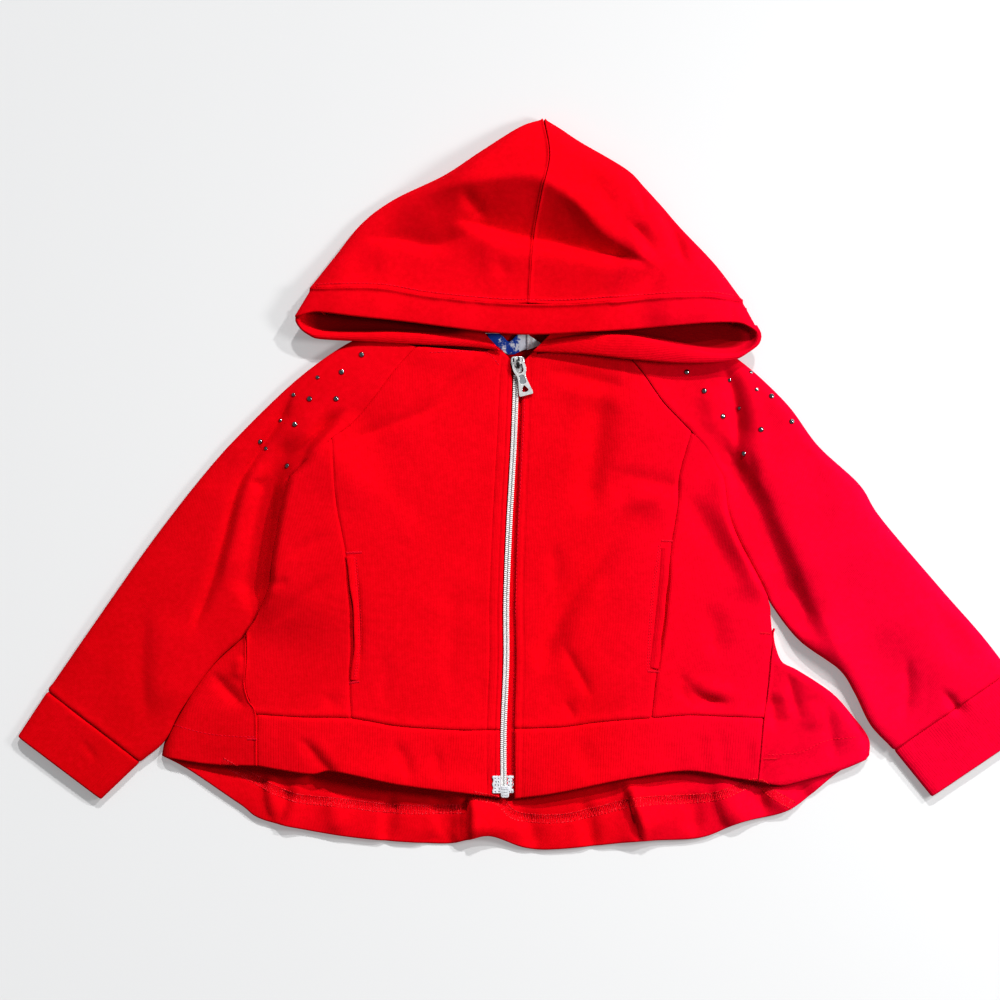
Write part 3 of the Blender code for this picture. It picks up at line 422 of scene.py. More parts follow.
def lumps(plan, size, seed, lean=0.0, stretch=1.0):
    """Smooth random hills and dips between -1 and 1, about size across, stretched one way."""
    hills = np.random.default_rng(seed).uniform(-1, 1, (61, 61))
    cos, sin = math.cos(math.radians(lean)), math.sin(math.radians(lean))
    spot = np.stack([plan[..., 0] * cos + plan[..., 1] * sin,
                     (plan[..., 1] * cos - plan[..., 0] * sin) * stretch], -1) / size + 30.5
    cell = np.floor(spot).astype(int)
    share = ease(spot - cell)
    x, y = cell[..., 0] % 60, cell[..., 1] % 60
    low, high = (hills[x, row] * (1 - share[..., 0]) + hills[x + 1, row] * share[..., 0]
                 for row in (y, y + 1))
    return low * (1 - share[..., 1]) + high * share[..., 1]


def one_fold(plan, fold):
    """The height that one fold alone adds over a grid of plan points."""
    return fold_height(plan.reshape(-1, 2), *fold).reshape(plan.shape[:-1])


def lifted(plan, rest, folds):
    """Height over a grid of plan points: the rest height with every fold near them."""
    height = np.full(plan.shape[:-1], float(rest))
    for _, *fold in folds:
        height += one_fold(plan, fold)
    return height


def lower(plan):
    return lifted(plan, LOW, LOWER_FOLDS)


def upper(plan, rest, folds):
    uneven = (0.30 * lumps(plan, 34, 3) + 0.18 * lumps(plan, 15, 8, 62, 0.6)
              + 0.06 * lumps(plan, 6, 11))
    return np.maximum(lifted(plan, rest, folds) + uneven, lower(plan) + LEAST_ROOM)


def body_top(plan):
    return upper(plan, BODY_REST, BODY_FOLDS)


def hood_top(plan):
    return upper(plan, HOOD_REST, HOOD_FOLDS)


def turned(distance, level, edge_level, reach=TURN):
    """Height at a distance from a fold line: level, rounding over to edge_level at the line."""
    share = np.clip(1 - distance / reach, 0, 1)
    return edge_level + (level - edge_level) * np.sqrt(1 - share**2)


print("body height at the chest:", round(float(body_top(np.array([[-70.0, 0.0]]))[0]), 1), "mm")

# %% [markdown]
# ## From a grid of points to a piece of cloth
#
# Every cloth piece is a grid of points in the middle of its wall. Two copies of the grid, moved
# apart along the surface normal, make the two faces, and a rim joins them. It is the same as the
# Solidify modifier, with one thing added: at a free edge the wall thins to nothing over its last
# millimetre, which rounds the edge as a real folded hem is rounded. A UV map in millimetres is
# stored with it, so that the knit runs along the cloth over every fold.

# %% Grids
# Distances from an edge at which a grid has its first lines.
SEAM_EDGE = (0, 0.5, 1.1, 1.9, 3.0, 4.6)
STITCHED_EDGE = (0, 0.5, 1.2, 2.1, 2.9, 3.4, 3.9, 4.7, 6.0)
FREE_EDGE = (0, 0.15, 0.45, 0.9, 1.4, 2.2, 3.6)
FOLD_EDGE = (0, 0.2, 0.6, 1.2, 2.1, 3.2, 4.6, 6.2, 8.0)
PLACKET_EDGE = (0, 0.3, 0.8, 1.5, 2.4, 3.2, 3.7, 4.2, 5.2, 6.8, 8.4, 9.1, 9.7, 10.3, 11.2, 13)
EDGE_SHARE = 0.34  # the most of a narrow grid that those first lines take up


def across(width, near=SEAM_EDGE, far=SEAM_EDGE, middle=20):
    """Distances from one edge to the other, close at both edges and even in between."""
    width = np.atleast_1d(width)[:, None]
    near, far = (np.minimum(edge, width * np.linspace(0, EDGE_SHARE, len(edge)))
                 for edge in (near, far))
    room = width - near[:, -1:] - far[:, -1:]
    inner = near[:, -1:] + room * np.arange(1, middle + 1) / (middle + 1)
    return np.hstack([near, inner, width - far[:, ::-1]])


def shares(length, near=SEAM_EDGE, far=SEAM_EDGE, step=2.2):
    middle = max(2, round((length - near[-1] - far[-1]) / step) - 1)
    return across(length, near, far, middle)[0] / length


def between(start, end, share):
    """Grid points on straight lines from each start to its end."""
    share = np.broadcast_to(share, (len(start), np.shape(share)[-1]))[..., None]
    return start[:, None] * (1 - share) + end[:, None] * share


def spread(start, end, *spacing):
    """A grid from each start to its end, with its lines' distances from start and from end."""
    width = apart(end, start)
    steps = across(width, *spacing)
    return between(start, end, steps / width[:, None]), steps, width[:, None] - steps


def raised(plan, height):
    return np.concatenate([plan, np.broadcast_to(height, plan.shape[:-1])[..., None]], -1)


def edge_distances(points):
    """Distance over the cloth to the grid's first and last column and its first and last row."""
    found = {}
    for axis, names in ((1, ("first", "last")), (0, ("head", "foot"))):
        grid = np.moveaxis(points, axis, 0)
        start = np.zeros(grid.shape[:2])
        start[1:] = np.cumsum(apart(grid[1:], grid[:-1]), axis=0)
        for name, distance in zip(names, (start, start[-1:] - start)):
            found[name] = np.moveaxis(distance, 0, axis)
    return found


print("widths of a 20 mm strip:", across(20, middle=2).round(1)[0])

# %% Grooves at seams and stitch lines
# Each groove is its distance from the edge, its depth and its width.
SEAM = ((0, 0.8, 1.1),)
DEEP_SEAM = ((0, 1.5, 1.7),)
UPPER_SEAM = ((0, 0.5, 0.7), (2.4, -0.35, 2.6))
SOFT = ((0, 0.35, 1.0),)


def normals(points):
    facing = np.cross(np.gradient(points, axis=1), np.gradient(points, axis=0))
    return facing / np.maximum(np.linalg.norm(facing, axis=-1, keepdims=True), 1e-9)


def sunk(points, up, **edges):
    """The grid with its seams and stitch lines pressed in."""
    distances = edge_distances(points)
    depth = np.zeros(points.shape[:2])
    for edge, grooves in edges.items():
        for place, deep, wide in grooves:
            depth += deep * np.exp(-(((distances[edge] - place) / wide) ** 2))
    depth *= 1 + 0.4 * lumps(points[..., :2], 7, 31)
    return points - up * normals(points) * depth[..., None]


print("grooves:", len(SEAM + DEEP_SEAM + UPPER_SEAM + SOFT), "kinds")

# %% Cloth shells
ROUND_EDGE = 1.2  # over which a free edge thins
LET_OUT = 0.12  # how far each piece goes over its outline, to close the seams
TABLE_ROOM = 0.05  # between the lowest cloth and the table
garment = []


def placed(name, mesh, *finishes):
    """An object of the scene from a mesh and its finishes."""
    for finish in finishes:
        mesh.materials.append(finish)
    piece = bpy.data.objects.new(name, mesh)
    bpy.context.scene.collection.objects.link(piece)
    return piece


def shell(name, points, wall, finish, free=()):
    """A named piece of cloth around a grid of mid-wall points in millimetres."""
    distances = edge_distances(points)
    thickness = np.full(points.shape[:2], float(wall))
    for edge in free:
        share = np.clip(1 - distances[edge] / ROUND_EDGE, 0, 1)
        thickness *= np.maximum(np.sqrt(1 - share**2), 0.06)
    points = points.copy()
    points[..., 2] = np.maximum(points[..., 2], wall / 2 + TABLE_ROOM)
    facing = normals(points)
    for edge, inner in ((np.s_[0], np.s_[1]), (np.s_[:, 0], np.s_[:, 1]),
                        (np.s_[-1], np.s_[-2]), (np.s_[:, -1], np.s_[:, -2])):
        inward = points[inner] - points[edge]
        length = np.maximum(np.linalg.norm(inward, axis=-1, keepdims=True), 1e-6)
        points[edge] -= inward / length * LET_OUT
    offset = facing * thickness[..., None] / 2
    spots = np.vstack([(points + side * offset).reshape(-1, 3) for side in (1, -1)])
    rows, columns = points.shape[:2]
    index = np.arange(rows * columns).reshape(rows, columns)
    quads = np.stack([index[:-1, :-1], index[1:, :-1], index[1:, 1:], index[:-1, 1:]], -1)
    quads = quads.reshape(-1, 4)
    rim = np.concatenate([index[0], index[1:, -1], index[-1, -2::-1], index[-2:0:-1, 0]])
    after = np.roll(rim, -1)
    sides = np.column_stack([rim, after, after + index.size, rim + index.size])
    quads = np.vstack([quads, quads[:, ::-1] + index.size, sides])
    a, b, c, d = (spots[quads[:, corner]] for corner in range(4))
    if np.einsum("ij,ij->", a, np.cross(b, c) + np.cross(c, d)) < 0:  # inside out
        quads = quads[:, ::-1]
    mesh = bpy.data.meshes.new(name)
    mesh.from_pydata((spots * MM).tolist(), [], quads.tolist())
    places = np.column_stack([distances["first"].ravel(), distances["head"].ravel()])
    knit = mesh.uv_layers.new(name="knit")
    corners = np.empty(len(mesh.loops), np.int32)
    mesh.loops.foreach_get("vertex_index", corners)
    knit.uv.foreach_set("vector", places[corners % index.size].astype(np.float32).ravel())
    mesh.shade_smooth()
    garment.append(placed(name, mesh, finish))
    print(f"{name}: {rows} x {columns} points, {2 * len(quads)} triangles")

# %% [markdown]
# ## Finishes
#
# A finish is a node tree, and most of it is arithmetic: how far a point is from the middle of a
# knit column, how deep a groove is. Written as nodes one by one that is hard to follow, so a
# small class wraps a socket and turns + - * / into Math nodes.

# %% A small language for shader maths
class Wire:
    """The output of a node, with arithmetic."""

    def __init__(self, finish, socket):
        self.finish, self.socket = finish, socket

    def maths(self, operation, *others):
        return self.finish.node("ShaderNodeMath", {"operation": operation}, self, *others)

    def __add__(self, other):
        return self.maths("ADD", other)

    def __sub__(self, other):
        return self.maths("SUBTRACT", other)

    def __rsub__(self, other):
        return self.finish.node("ShaderNodeMath", {"operation": "SUBTRACT"}, other, self)

    def __mul__(self, other):
        return self.maths("MULTIPLY", other)

    def __truediv__(self, other):
        return self.maths("DIVIDE", other)

    def clamped(self):
        return self.finish.node("ShaderNodeClamp", {}, self)

    __radd__, __rmul__ = __add__, __mul__


class Finish:
    """A material under construction."""

    def __init__(self, name, colour, roughness, **shader):
        self.material = bpy.data.materials.new(name)
        self.material.use_nodes = True
        self.material.diffuse_color = (*colour, 1)
        self.tree = self.material.node_tree
        self.shader = self.tree.nodes["Principled BSDF"]
        for socket, value in {"Base_Color": (*colour, 1), "Roughness": roughness, **shader}.items():
            self.shader.inputs[socket.replace("_", " ")].default_value = value

    def node(self, kind, settings, *values, out=0, **named):
        """A node's output, from its type, its settings, and the values or wires of its sockets."""
        made = self.tree.nodes.new(kind)
        for setting, value in settings.items():
            setattr(made, setting, value)
        for socket, value in [*enumerate(values), *named.items()]:
            spot = made.inputs[socket.replace("_", " ") if isinstance(socket, str) else socket]
            if isinstance(value, Wire):
                self.tree.links.new(value.socket, spot)
            elif value is not None:
                spot.default_value = value
        return Wire(self, made.outputs[out])

    def feed(self, socket, wire):
        self.tree.links.new(wire.socket, self.shader.inputs[socket])

    def places(self):
        return self.node("ShaderNodeTexCoord", {}, out="Object")

    def cloth_places(self):
        """Millimetres along the cloth: across the knit columns, and down them."""
        spot = self.node("ShaderNodeUVMap", {"uv_map": "knit"})
        return (self.node("ShaderNodeSeparateXYZ", {}, spot, out=axis) for axis in ("X", "Y"))

    def noise(self, where, scale, detail=2.0, roughness=0.5):
        return self.node("ShaderNodeTexNoise", {}, Vector=where, Scale=scale, Detail=detail,
                         Roughness=roughness, out="Fac")

    def mix(self, share, *colours):
        """A colour between two colours."""
        first, second = (one if isinstance(one, Wire) else (*one, 1) for one in colours)
        return self.node("ShaderNodeMix", {"data_type": "RGBA"}, share, *[None] * 5, first, second,
                         out=2)

    def bump(self, height, depth):
        """The surface raised by height, a wire from 0 to 1, times depth in metres."""
        self.feed("Normal", self.node("ShaderNodeBump", {}, Strength=1.0, Distance=depth,
                                      Height=height))


# %% [markdown]
# ### Red sweatshirt cloth
#
# Sweatshirt cloth is a plain jersey knit on its face, brushed so that it looks matt and slightly
# soft. Each knit column is about a millimetre wide and made of small V-shaped loops. The colour is
# one dye, so it changes only a little: a touch deeper between the loops, a touch lighter where
# fibres stand up. Painted shade makes the red a little deeper towards the left sleeve, and painted
# light makes it a little rosier towards the right sleeve, so the red drifts slowly from one side of
# the jacket to the other.

# %% Red cloth and red rib
RED = (0.67, 0.0006, 0.0130)
DEEP_RED, WARM_RED = (0.50, 0.0003, 0.006), (0.76, 0.0010, 0.020)
# Rosier reds for the painted light towards the right side.
PAINTED_LIGHT_DEEP, PAINTED_LIGHT_WARM = (0.52, 0.0004, 0.030), (0.78, 0.0012, 0.054)
# A deep red for painted shade inside the hood's slit.
PAINTED_SHADE_RED = (0.24, 0.0003, 0.006)


def knitted(name, column, loop, relief, rib=0.0, shade_below=None):
    """A knit finish: the width of a column and the height of a loop in millimetres.

    The last argument is a height in metres; below it a deep red is painted in as shade."""
    made = Finish(name, RED, 0.86, Specular_IOR_Level=0.06)
    side, down = made.cloth_places()
    where = made.places()
    side = side + made.noise(where, 60, 3) * 1.1
    from_middle = ((side / column).maths("FRACT") - 0.5).maths("ABSOLUTE")
    leg = (down / loop + from_middle * 1.4) * (2 * math.pi)
    knit = (1 - from_middle * 2).maths("POWER", 0.7) * 0.65
    knit = knit + (leg.maths("SINE") * 0.25 + 0.5) * 0.35
    fuzz = made.noise(where, 1500, 4, 0.65)
    pills = made.noise(where, 260, 3, 0.6)
    height = knit * 0.55 + fuzz * 0.3 + pills * 0.35
    if rib:
        height = height * 0.7 + ((side / rib * (2 * math.pi)).maths("SINE") * 0.5 + 0.5) * 0.26
    made.bump(height, relief)
    place = made.node("ShaderNodeSeparateXYZ", {}, where)
    # Painted shade darkens the red towards the left side, and painted light makes it rosier towards
    # the right side.
    painted_shade_left = ((-0.18 - place) / 0.13).clamped()
    painted_light_right = ((place - 0.05) / 0.20).clamped()
    shade = made.noise(where, 22, 3, 0.55) * 0.45 + pills * 0.7 + knit * 0.35 - 0.33
    shade = (shade - painted_shade_left * 0.3).clamped()
    face = made.mix(painted_light_right, made.mix(shade, DEEP_RED, WARM_RED),
                    made.mix(shade, PAINTED_LIGHT_DEEP, PAINTED_LIGHT_WARM))
    # Painted shade: low down, the red gives way to a deep red, for the shade in the hood's slit.
    if shade_below:
        height = made.node("ShaderNodeSeparateXYZ", {}, where, out="Z")
        face = made.mix(((shade_below - height) / 0.0016).clamped(), face, PAINTED_SHADE_RED)
    made.feed("Base Color", face)
    made.feed("Roughness", 0.80 + fuzz * 0.14)
    return made.material


red_cloth = knitted("red_cloth", 1.15, 1.0, 0.00023)
red_rib = knitted("red_rib", 1.0, 0.9, 0.0003, rib=1.9)
red_facing = knitted("red_facing", 1.2, 1.1, 0.0004, shade_below=0.0100)
print("knits:", red_cloth.name, red_rib.name, red_facing.name)

# %% [markdown]
# ## The fronts
#
# Each side has a centre front, cut from the zip to the princess seam, and a side front from there
# to the side. The grid's rows run from the zip outwards, and its last rows bend to follow the seam
# of the hem band. The neck corner rises beside the zip, where the facing holds it up.

# %% Lines that the fronts share
def zip_x(y):
    line = smooth(ZIP_LINE)[::-1]
    return np.interp(y, line[:, 1], line[:, 0])


def front_edge(side, y):
    """The edge of a front where it meets the zip."""
    y = np.asarray(y, float)
    slack = np.clip((40 - y) / 240, 0, 1)
    right = EDGE_RIGHT[0] + (EDGE_RIGHT[1] - EDGE_RIGHT[0]) * slack
    return np.stack([zip_x(y) + (right if side["out"] > 0 else -EDGE_LEFT), y], -1)


def on_line(points, x):
    line = smooth(points)
    line = line[np.argsort(line[:, 0])]
    return np.interp(x, line[:, 0], line[:, 1])


def bowed(plan, side, places):
    """Plan points moved up or down so that the last row follows the seam of the hem band."""
    start, end = plan[-1, 0], plan[-1, -1]
    straight = start[1] + (end[1] - start[1]) * (plan[..., 0] - start[0]) / (end[0] - start[0])
    plan = plan.copy()
    plan[..., 1] += (on_line(side["band_top"], plan[..., 0]) - straight) * places[:, None] ** 5
    return plan


def joined_lines(side, names, ends, places):
    """Points on several of a side's lines in a row. ends are the places where each one ends."""
    found = []
    for name, first, last in zip(names, (0, *ends), ends):
        inside = places >= first
        if last < places[-1]:
            inside &= places < last
        found.append(along(side[name], (places[inside] - first) / (last - first)))
    return np.vstack(found)


print("left edge of the zip at the chest:", front_edge(LEFT, 0).round(1))

# %% Centre fronts
NECK, HEM = 97, -183
# Grooves along the zip: the edge itself and the rows of stitches beside it.
PLACKET = {
    -1: ((0, 0.7, 0.8), (3.7, 0.3, 0.5), (9.7, 0.45, 0.6)),
    1: ((0, 0.7, 0.8), (5.2, 0.5, 0.6)),
}


def centre_front(side):
    outer = np.vstack([along(side["raglan"], shares(95)), along(side["princess"], shares(214))[1:]])
    foot = on_line(side["band_top"], zip_x(HEM))
    y = NECK + (outer[:, 1] - outer[0, 1]) * (foot - NECK) / (outer[-1, 1] - outer[0, 1])
    plan, steps, _ = spread(front_edge(side, y), outer, PLACKET_EDGE, SEAM_EDGE, 48)
    plan = bowed(plan, side, np.linspace(0, 1, len(outer)))
    corner = 5.5 * np.exp(-(((steps - 13) / 5) ** 2)) - 4.6 * np.exp(-((steps / 4.2) ** 2))
    plan[..., 1] += corner * np.exp(-((NECK - y[:, None]) / 9).clip(0))
    return raised(plan, body_top(plan))


for word, side in SIDES:
    points = sunk(centre_front(side), -side["out"], first=PLACKET[side["out"]],
                  last=SEAM if side is LEFT else DEEP_SEAM, foot=UPPER_SEAM, head=SOFT)
    shell(f"cloth_front_{word}", points, CLOTH, red_cloth, free=("first",))

# %% Side fronts
FOLDED = (0, 0, 0.6, 1, 1, 1, 1, 0.9, 0.3, 0, 0)  # from the armhole down: where the edge turns in
OVER_SLEEVE = {-1: 1.4, 1: 1.8}  # how far that edge lies over the sleeve
FOLD_LEVEL = {-1: 10.6, 1: 5.2}


def side_front(side):
    places = shares(214) * 10
    inner = along(side["princess"], places / 10)
    edge = joined_lines(side, ("armhole", "body_edge", "side_seam"), (2, 7, 10), places)
    edge[:, 0] += (side["out"] * OVER_SLEEVE[side["out"]]
                   * np.interp(places, (2, 2.6, 6.2, 7), (0, 1, 1, 0)))
    plan = bowed(spread(inner, edge, SEAM_EDGE, FOLD_EDGE, 22)[0], side, places / 10)
    level = body_top(plan)
    down = turned(apart(edge[:, None], plan), level, FOLD_LEVEL[side["out"]], 4.5)
    return raised(plan, level + (down - level) * np.interp(places, range(11), FOLDED)[:, None])


for word, side in SIDES:
    points = sunk(side_front(side), -side["out"], first=SEAM, foot=UPPER_SEAM, head=SEAM)
    shell(f"cloth_side_front_{word}", points, CLOTH, red_cloth)

# %% [markdown]
# ## Hem bands
#
# The bands are cut double from a fine rib and folded at the hem, so their lower edge is round and
# thicker than the rest.

# %% Hem bands
BAND_PLACKET = {
    -1: ((0, 0.6, 0.8), (3.7, 0.3, 0.6), (9.7, 0.4, 0.7)),
    1: ((0, 0.6, 0.8), (5.2, 0.4, 0.7)),
}


def hem_band(side):
    places = shares(182, SEAM_EDGE, PLACKET_EDGE)
    top, foot = along(side["band_top"], places), along(side["band_foot"], places)
    plan = spread(top, foot, SEAM_EDGE, FREE_EDGE, 17)[0].transpose(1, 0, 2)
    return raised(plan, body_top(plan))


for word, side in SIDES:
    points = sunk(hem_band(side), side["out"], head=DEEP_SEAM, first=SEAM,
                  last=BAND_PLACKET[side["out"]])
    shell(f"cloth_hem_band_{word}", points, RIB, red_rib, free=("foot", "last"))

# %% [markdown]
# ## The back
#
# Above the waist the back is one plain piece, hidden under the fronts and flat on the table. Below
# it a longer, gathered piece goes all round: its two ends are folded to the front, where they are
# sewn to the fronts' side seams, and its middle shows its inside below the hem bands. It is one
# sheet, so it is built as one grid, from seam to fold to fold to seam.

# %% Stitches and pleats of the open hem
HEM_STITCHES = (
    ((-226, -207), (-214, -214), (-176, -233), (-139, -238), (-94, -243), (-46, -243)),
    ((-38, -232), (-30, -234), (-19, -237), (-6, -248), (26, -250), (56, -244), (86, -237),
     (139, -234), (172, -223), (186, -232), (200, -240)),
)
HEM_FOLDS = (
    ("left stitch row", -0.9, (2.6, 2.6), 0, HEM_STITCHES[0]),
    ("right stitch row", -0.9, (2.6, 2.6), 0, HEM_STITCHES[1]),
    ("lift", 3.0, (30, 22), 0, ((-250, -218), (-150, -252), (0, -262), (140, -250), (250, -214))),
    ("far left pleat", 3.6, (9, 3), 6, ((-192, -210), (-190, -236), (-184, -260))),
    ("left pleat", -4.0, (4, 7), 6, ((-174, -222), (-181, -244), (-190, -262))),
    ("left soft pleat", 2.8, (10, 8), 8, ((-146, -226), (-138, -266))),
    ("near left pleat", -4.2, (6, 4), 8, ((-101, -228), (-103, -250), (-105, -274))),
    ("inner pleat", -3.4, (10, 5), 8, ((-66, -226), (-62, -250), (-58, -272))),
    ("under the middle pleat", -3.0, (2, 12), 4, ((-43, -226), (-43, -250), (-43, -272))),
    ("hem beside the middle pleat", -3.6, (9, 3), 8, ((-84, -270), (-60, -270), (-43, -268))),
    ("middle pleat", 9.4, (24, 1.0), 4, ((-40, -226), (-40, -250), (-41, -272)), 1.6),
    ("right of middle", -3.0, (8, 6), 8, ((-6, -240), (4, -258), (10, -278))),
    ("right soft pleat", -3.6, (6, 6), 8, ((43, -232), (47, -252), (52, -278))),
    ("under the right pleat", -2.6, (2, 10), 4, ((72, -222), (80, -242), (88, -270))),
    ("right pleat", 6.6, (24, 1.6), 4, ((75, -220), (83, -242), (91, -272)), 1.6),
    ("far right soft", -3.4, (7, 7), 8, ((124, -228), (128, -266))),
    ("outer right pleat", 3.4, (12, 4), 6, ((142, -222), (148, -240), (158, -262))),
    ("last right pleat", -3.6, (6, 5), 6, ((172, -218), (176, -236), (182, -252))),
    ("right corner fold", 3.6, (6, 7), 6, ((176, -226), (190, -236), (206, -244))),
    ("right corner dip", -2.4, (6, 6), 6, ((204, -222), (214, -240))),
)


def back_height(plan):
    gathers = 0.4 * lumps(plan, 13, 21, 80, 0.5)
    return np.maximum(lifted(plan, 0, HEM_FOLDS) + lower(plan) + gathers, LOW)


print("folds of the open hem:", len(HEM_FOLDS))

# %% Back and peplum
def back_bodice():
    places = shares(190, SEAM_EDGE, SEAM_EDGE, 4) * 12
    edges = [joined_lines(side, ("back_raglan", "armhole", "body_edge"), (4, 6, 12), places)
             for _, side in SIDES]
    return raised(between(*edges, shares(300, SEAM_EDGE, SEAM_EDGE, 5)), LOW)


def flap(side, places):
    """The end of the peplum that shows beside a front, from its seam to its fold."""
    seam = along(side["side_seam"] + side["band_side"][1:], places, side["out"] * 2 * GAP)
    fold = along(side["peplum_fold"], places, -side["out"] * 0.3)
    plan, steps, to_fold = spread(seam, fold, SEAM_EDGE, FOLD_EDGE, 22)
    plan, steps, to_fold = plan[:, :-1], steps[:, :-1], to_fold[:, :-1]
    hem = along(side["flap_hem"], 201)
    part = steps / (steps + to_fold)
    hem = np.stack([np.interp(part, np.linspace(0, 1, 201), axis) for axis in hem.T], -1)
    plan = plan + (hem - plan) * places[:, None, None] ** 6
    return raised(plan, turned(to_fold, body_top(plan), lower(plan) + LEAST_ROOM / 2)), fold


def peplum():
    places = shares(170, SEAM_EDGE, FREE_EDGE, 2.3)
    (left_flap, left_fold), (right_flap, right_fold) = (flap(side, places) for _, side in SIDES)
    span = shares(500, FOLD_EDGE, FOLD_EDGE, 2.4)
    plan = between(along(WAIST, span), along(HEM_LINE, span), places).transpose(1, 0, 2)
    for side, fold, near in ((LEFT, left_fold, 1 - span), (RIGHT, right_fold, span)):
        start, *_, end = np.array(side["peplum_fold"], float)
        bow = fold - (start + (end - start) * places[:, None])
        plan = plan + bow[:, None] * near[None, :, None] ** 5
    plan[:, 0], plan[:, -1] = left_fold, right_fold
    nearest = np.minimum(*(apart(plan, fold[:, None]) for fold in (left_fold, right_fold)))
    level = turned(nearest, back_height(plan), lower(plan) + LEAST_ROOM / 2)
    return np.concatenate([left_flap, raised(plan, level), right_flap[:, ::-1]], axis=1)


shell("cloth_back", sunk(back_bodice(), -1, head=SOFT), CLOTH, red_cloth)
shell("cloth_peplum", sunk(peplum(), -1, first=SEAM, last=SEAM, head=SEAM), CLOTH, red_cloth,
      free=("foot",))

# %% [markdown]
# ## Sleeves and cuffs
#
# A sleeve is a tube that lies flat: its upper layer runs from the raglan seam and the underarm to
# the outer fold, turns down over a few millimetres, and comes back underneath. Each row of the
# grid is one section of that tube.

# %% Sleeves and cuffs
def tube_section(start, fold, back_start, opened, lift=None, inner_rise=0.0):
    """Sections of a flat tube. opened is 1 where it joins the body and 0 where it closes.

    The body's edge lift is taken off where the tube is closed, because it lies beside the body."""
    closed = 1 - opened[:, None]

    def layer(plan, steps, to_fold, level, middle, way):
        height = turned(to_fold, level, middle)
        shut = turned(steps, level, middle + way * (CLOTH + GAP) / 2)
        shut = np.minimum(shut, height) if way > 0 else np.maximum(shut, height)
        return raised(plan, height + (shut - height) * ((steps < TURN) * closed))

    plan, steps, to_fold = spread(start, fold, FOLD_EDGE, FOLD_EDGE, 46)
    level = body_top(plan)
    if lift:
        level = np.maximum(level - closed * one_fold(plan, lift), LOW + LEAST_ROOM)
    swell = np.broadcast_to(inner_rise, opened.shape)[:, None] * np.exp(-((steps / 22) ** 2))
    level = level + swell
    top = layer(plan, steps, to_fold, level, (level + LOW) / 2, 1)
    grid = spread(back_start, fold, FOLD_EDGE, FOLD_EDGE, 16)
    plan, steps, to_fold = (part[:, ::-1][:, 1:] for part in grid)
    under = layer(plan, steps, to_fold, LOW, (body_top(plan) + LOW) / 2, -1)
    return np.concatenate([top, under], axis=1)


def underarm(side, places):
    return along(side["underarm"], places, side["out"] * 0.5)


def outer_fold(side, places):
    return along(side["sleeve_fold"], places, -side["out"] * CLOTH / 2)


def sleeve(side):
    places = shares(440, SEAM_EDGE, SEAM_EDGE, 2.3) * 14
    tube = underarm(side, np.clip((places - 6) / 8, 0, 1) + np.linspace(0, 1e-6, len(places)))
    front, back = (np.vstack([joined_lines(side, (name, "armhole"), (4, 6), places[places < 6]),
                              tube[places >= 6]]) for name in ("raglan", "back_raglan"))
    opened = np.interp(places, (0, 5, 6, 7, 14), (1, 1, 0.4, 0, 0))
    bulge = np.interp(places, (9, 10.5, 13, 14), (0, 4.5, 4.5, 1.5)) if side is RIGHT else 0.0
    return tube_section(front, outer_fold(side, places / 14), back, opened,
                        EDGE_LIFTS[side["out"]], bulge)


def cuff(side):
    places = shares(44, SEAM_EDGE, FREE_EDGE, 2.0)[:, None]
    start, fold = (line + (end - line) * places for line, end in zip(
        (underarm(side, 400)[-1], outer_fold(side, 400)[-1]), np.array(side["cuff_end"], float)))
    return tube_section(start, fold, start, np.zeros(len(places)))


for word, side in SIDES:
    points = sunk(sleeve(side), -side["out"], first=((0, 0.2, 0.8), (2.4, -0.4, 3.0)),
                  foot=UPPER_SEAM)
    shell(f"cloth_sleeve_{word}", points, CLOTH, red_cloth)
    points = sunk(cuff(side), -side["out"], head=DEEP_SEAM)
    shell(f"cloth_cuff_{word}", points, CLOTH, red_rib, free=("foot",))

# %% [markdown]
# ## The hood
#
# The hood is two halves joined by a seam over the crown. Each goes from the neck up the lower
# layer to the outline and back down the upper layer to the band's seam. The band is a separate
# strip whose free edge stands up over the lower lip, which is the same edge seen on its other side.

# %% Hood
LIP_CREST, LIP_FLOOR = 10.8, 3.6  # least heights of the lips' upper edge and lower layer
BAND_TIP = 14.2  # height of the band's two ends


def hood_half(side):
    rows = shares(215, SEAM_EDGE, SEAM_EDGE, 2.2)
    neck, crown, foot = (along(side[line], rows)
                         for line in ("hood_neck", "hood_outline", "hood_foot"))
    crown = crown + (neck - crown) / apart(neck, crown)[:, None] * CLOTH / 2

    def layer(plan, from_crown, level, turn):
        middle = (hood_top(plan) + lower(plan)) / 2
        return raised(plan, turned(from_crown, level(plan), middle, turn))

    part = shares(150, SEAM_EDGE, FOLD_EDGE, 5)[None, :-1]
    under = layer(between(neck, crown, part), apart(crown, neck)[:, None] * (1 - part), lower, TURN)
    reach = apart(crown, foot)[:, None]
    part = across(reach[:, 0], STITCHED_EDGE, FOLD_EDGE, 46)[:, ::-1] / reach
    seam, steps = along(HOOD_SEAM, 401), np.linspace(0, 1, 401)
    chord = np.array(HOOD_SEAM[0]) + (np.array(HOOD_SEAM[-1]) - HOOD_SEAM[0]) * steps[:, None]
    bow = np.stack([np.interp(part, steps, axis) for axis in (seam - chord).T], -1)
    plan = between(foot, crown, part) + bow * (rows**4)[:, None, None]
    return np.concatenate([under, layer(plan, reach * (1 - part), hood_top, HOOD_TURN)], axis=1)


def hood_band():
    places = shares(345, SEAM_EDGE, SEAM_EDGE, 2.2)
    plan = between(along(BAND_SEAM, places), along(BAND_EDGE, places),
                   shares(22, SEAM_EDGE, FREE_EDGE, 1.6)).transpose(1, 0, 2)
    tip = np.minimum(*(apart(plan, plan[:, end][:, None]) for end in (0, -1)))
    return raised(plan, turned(tip, hood_top(plan), BAND_TIP, HOOD_TURN))


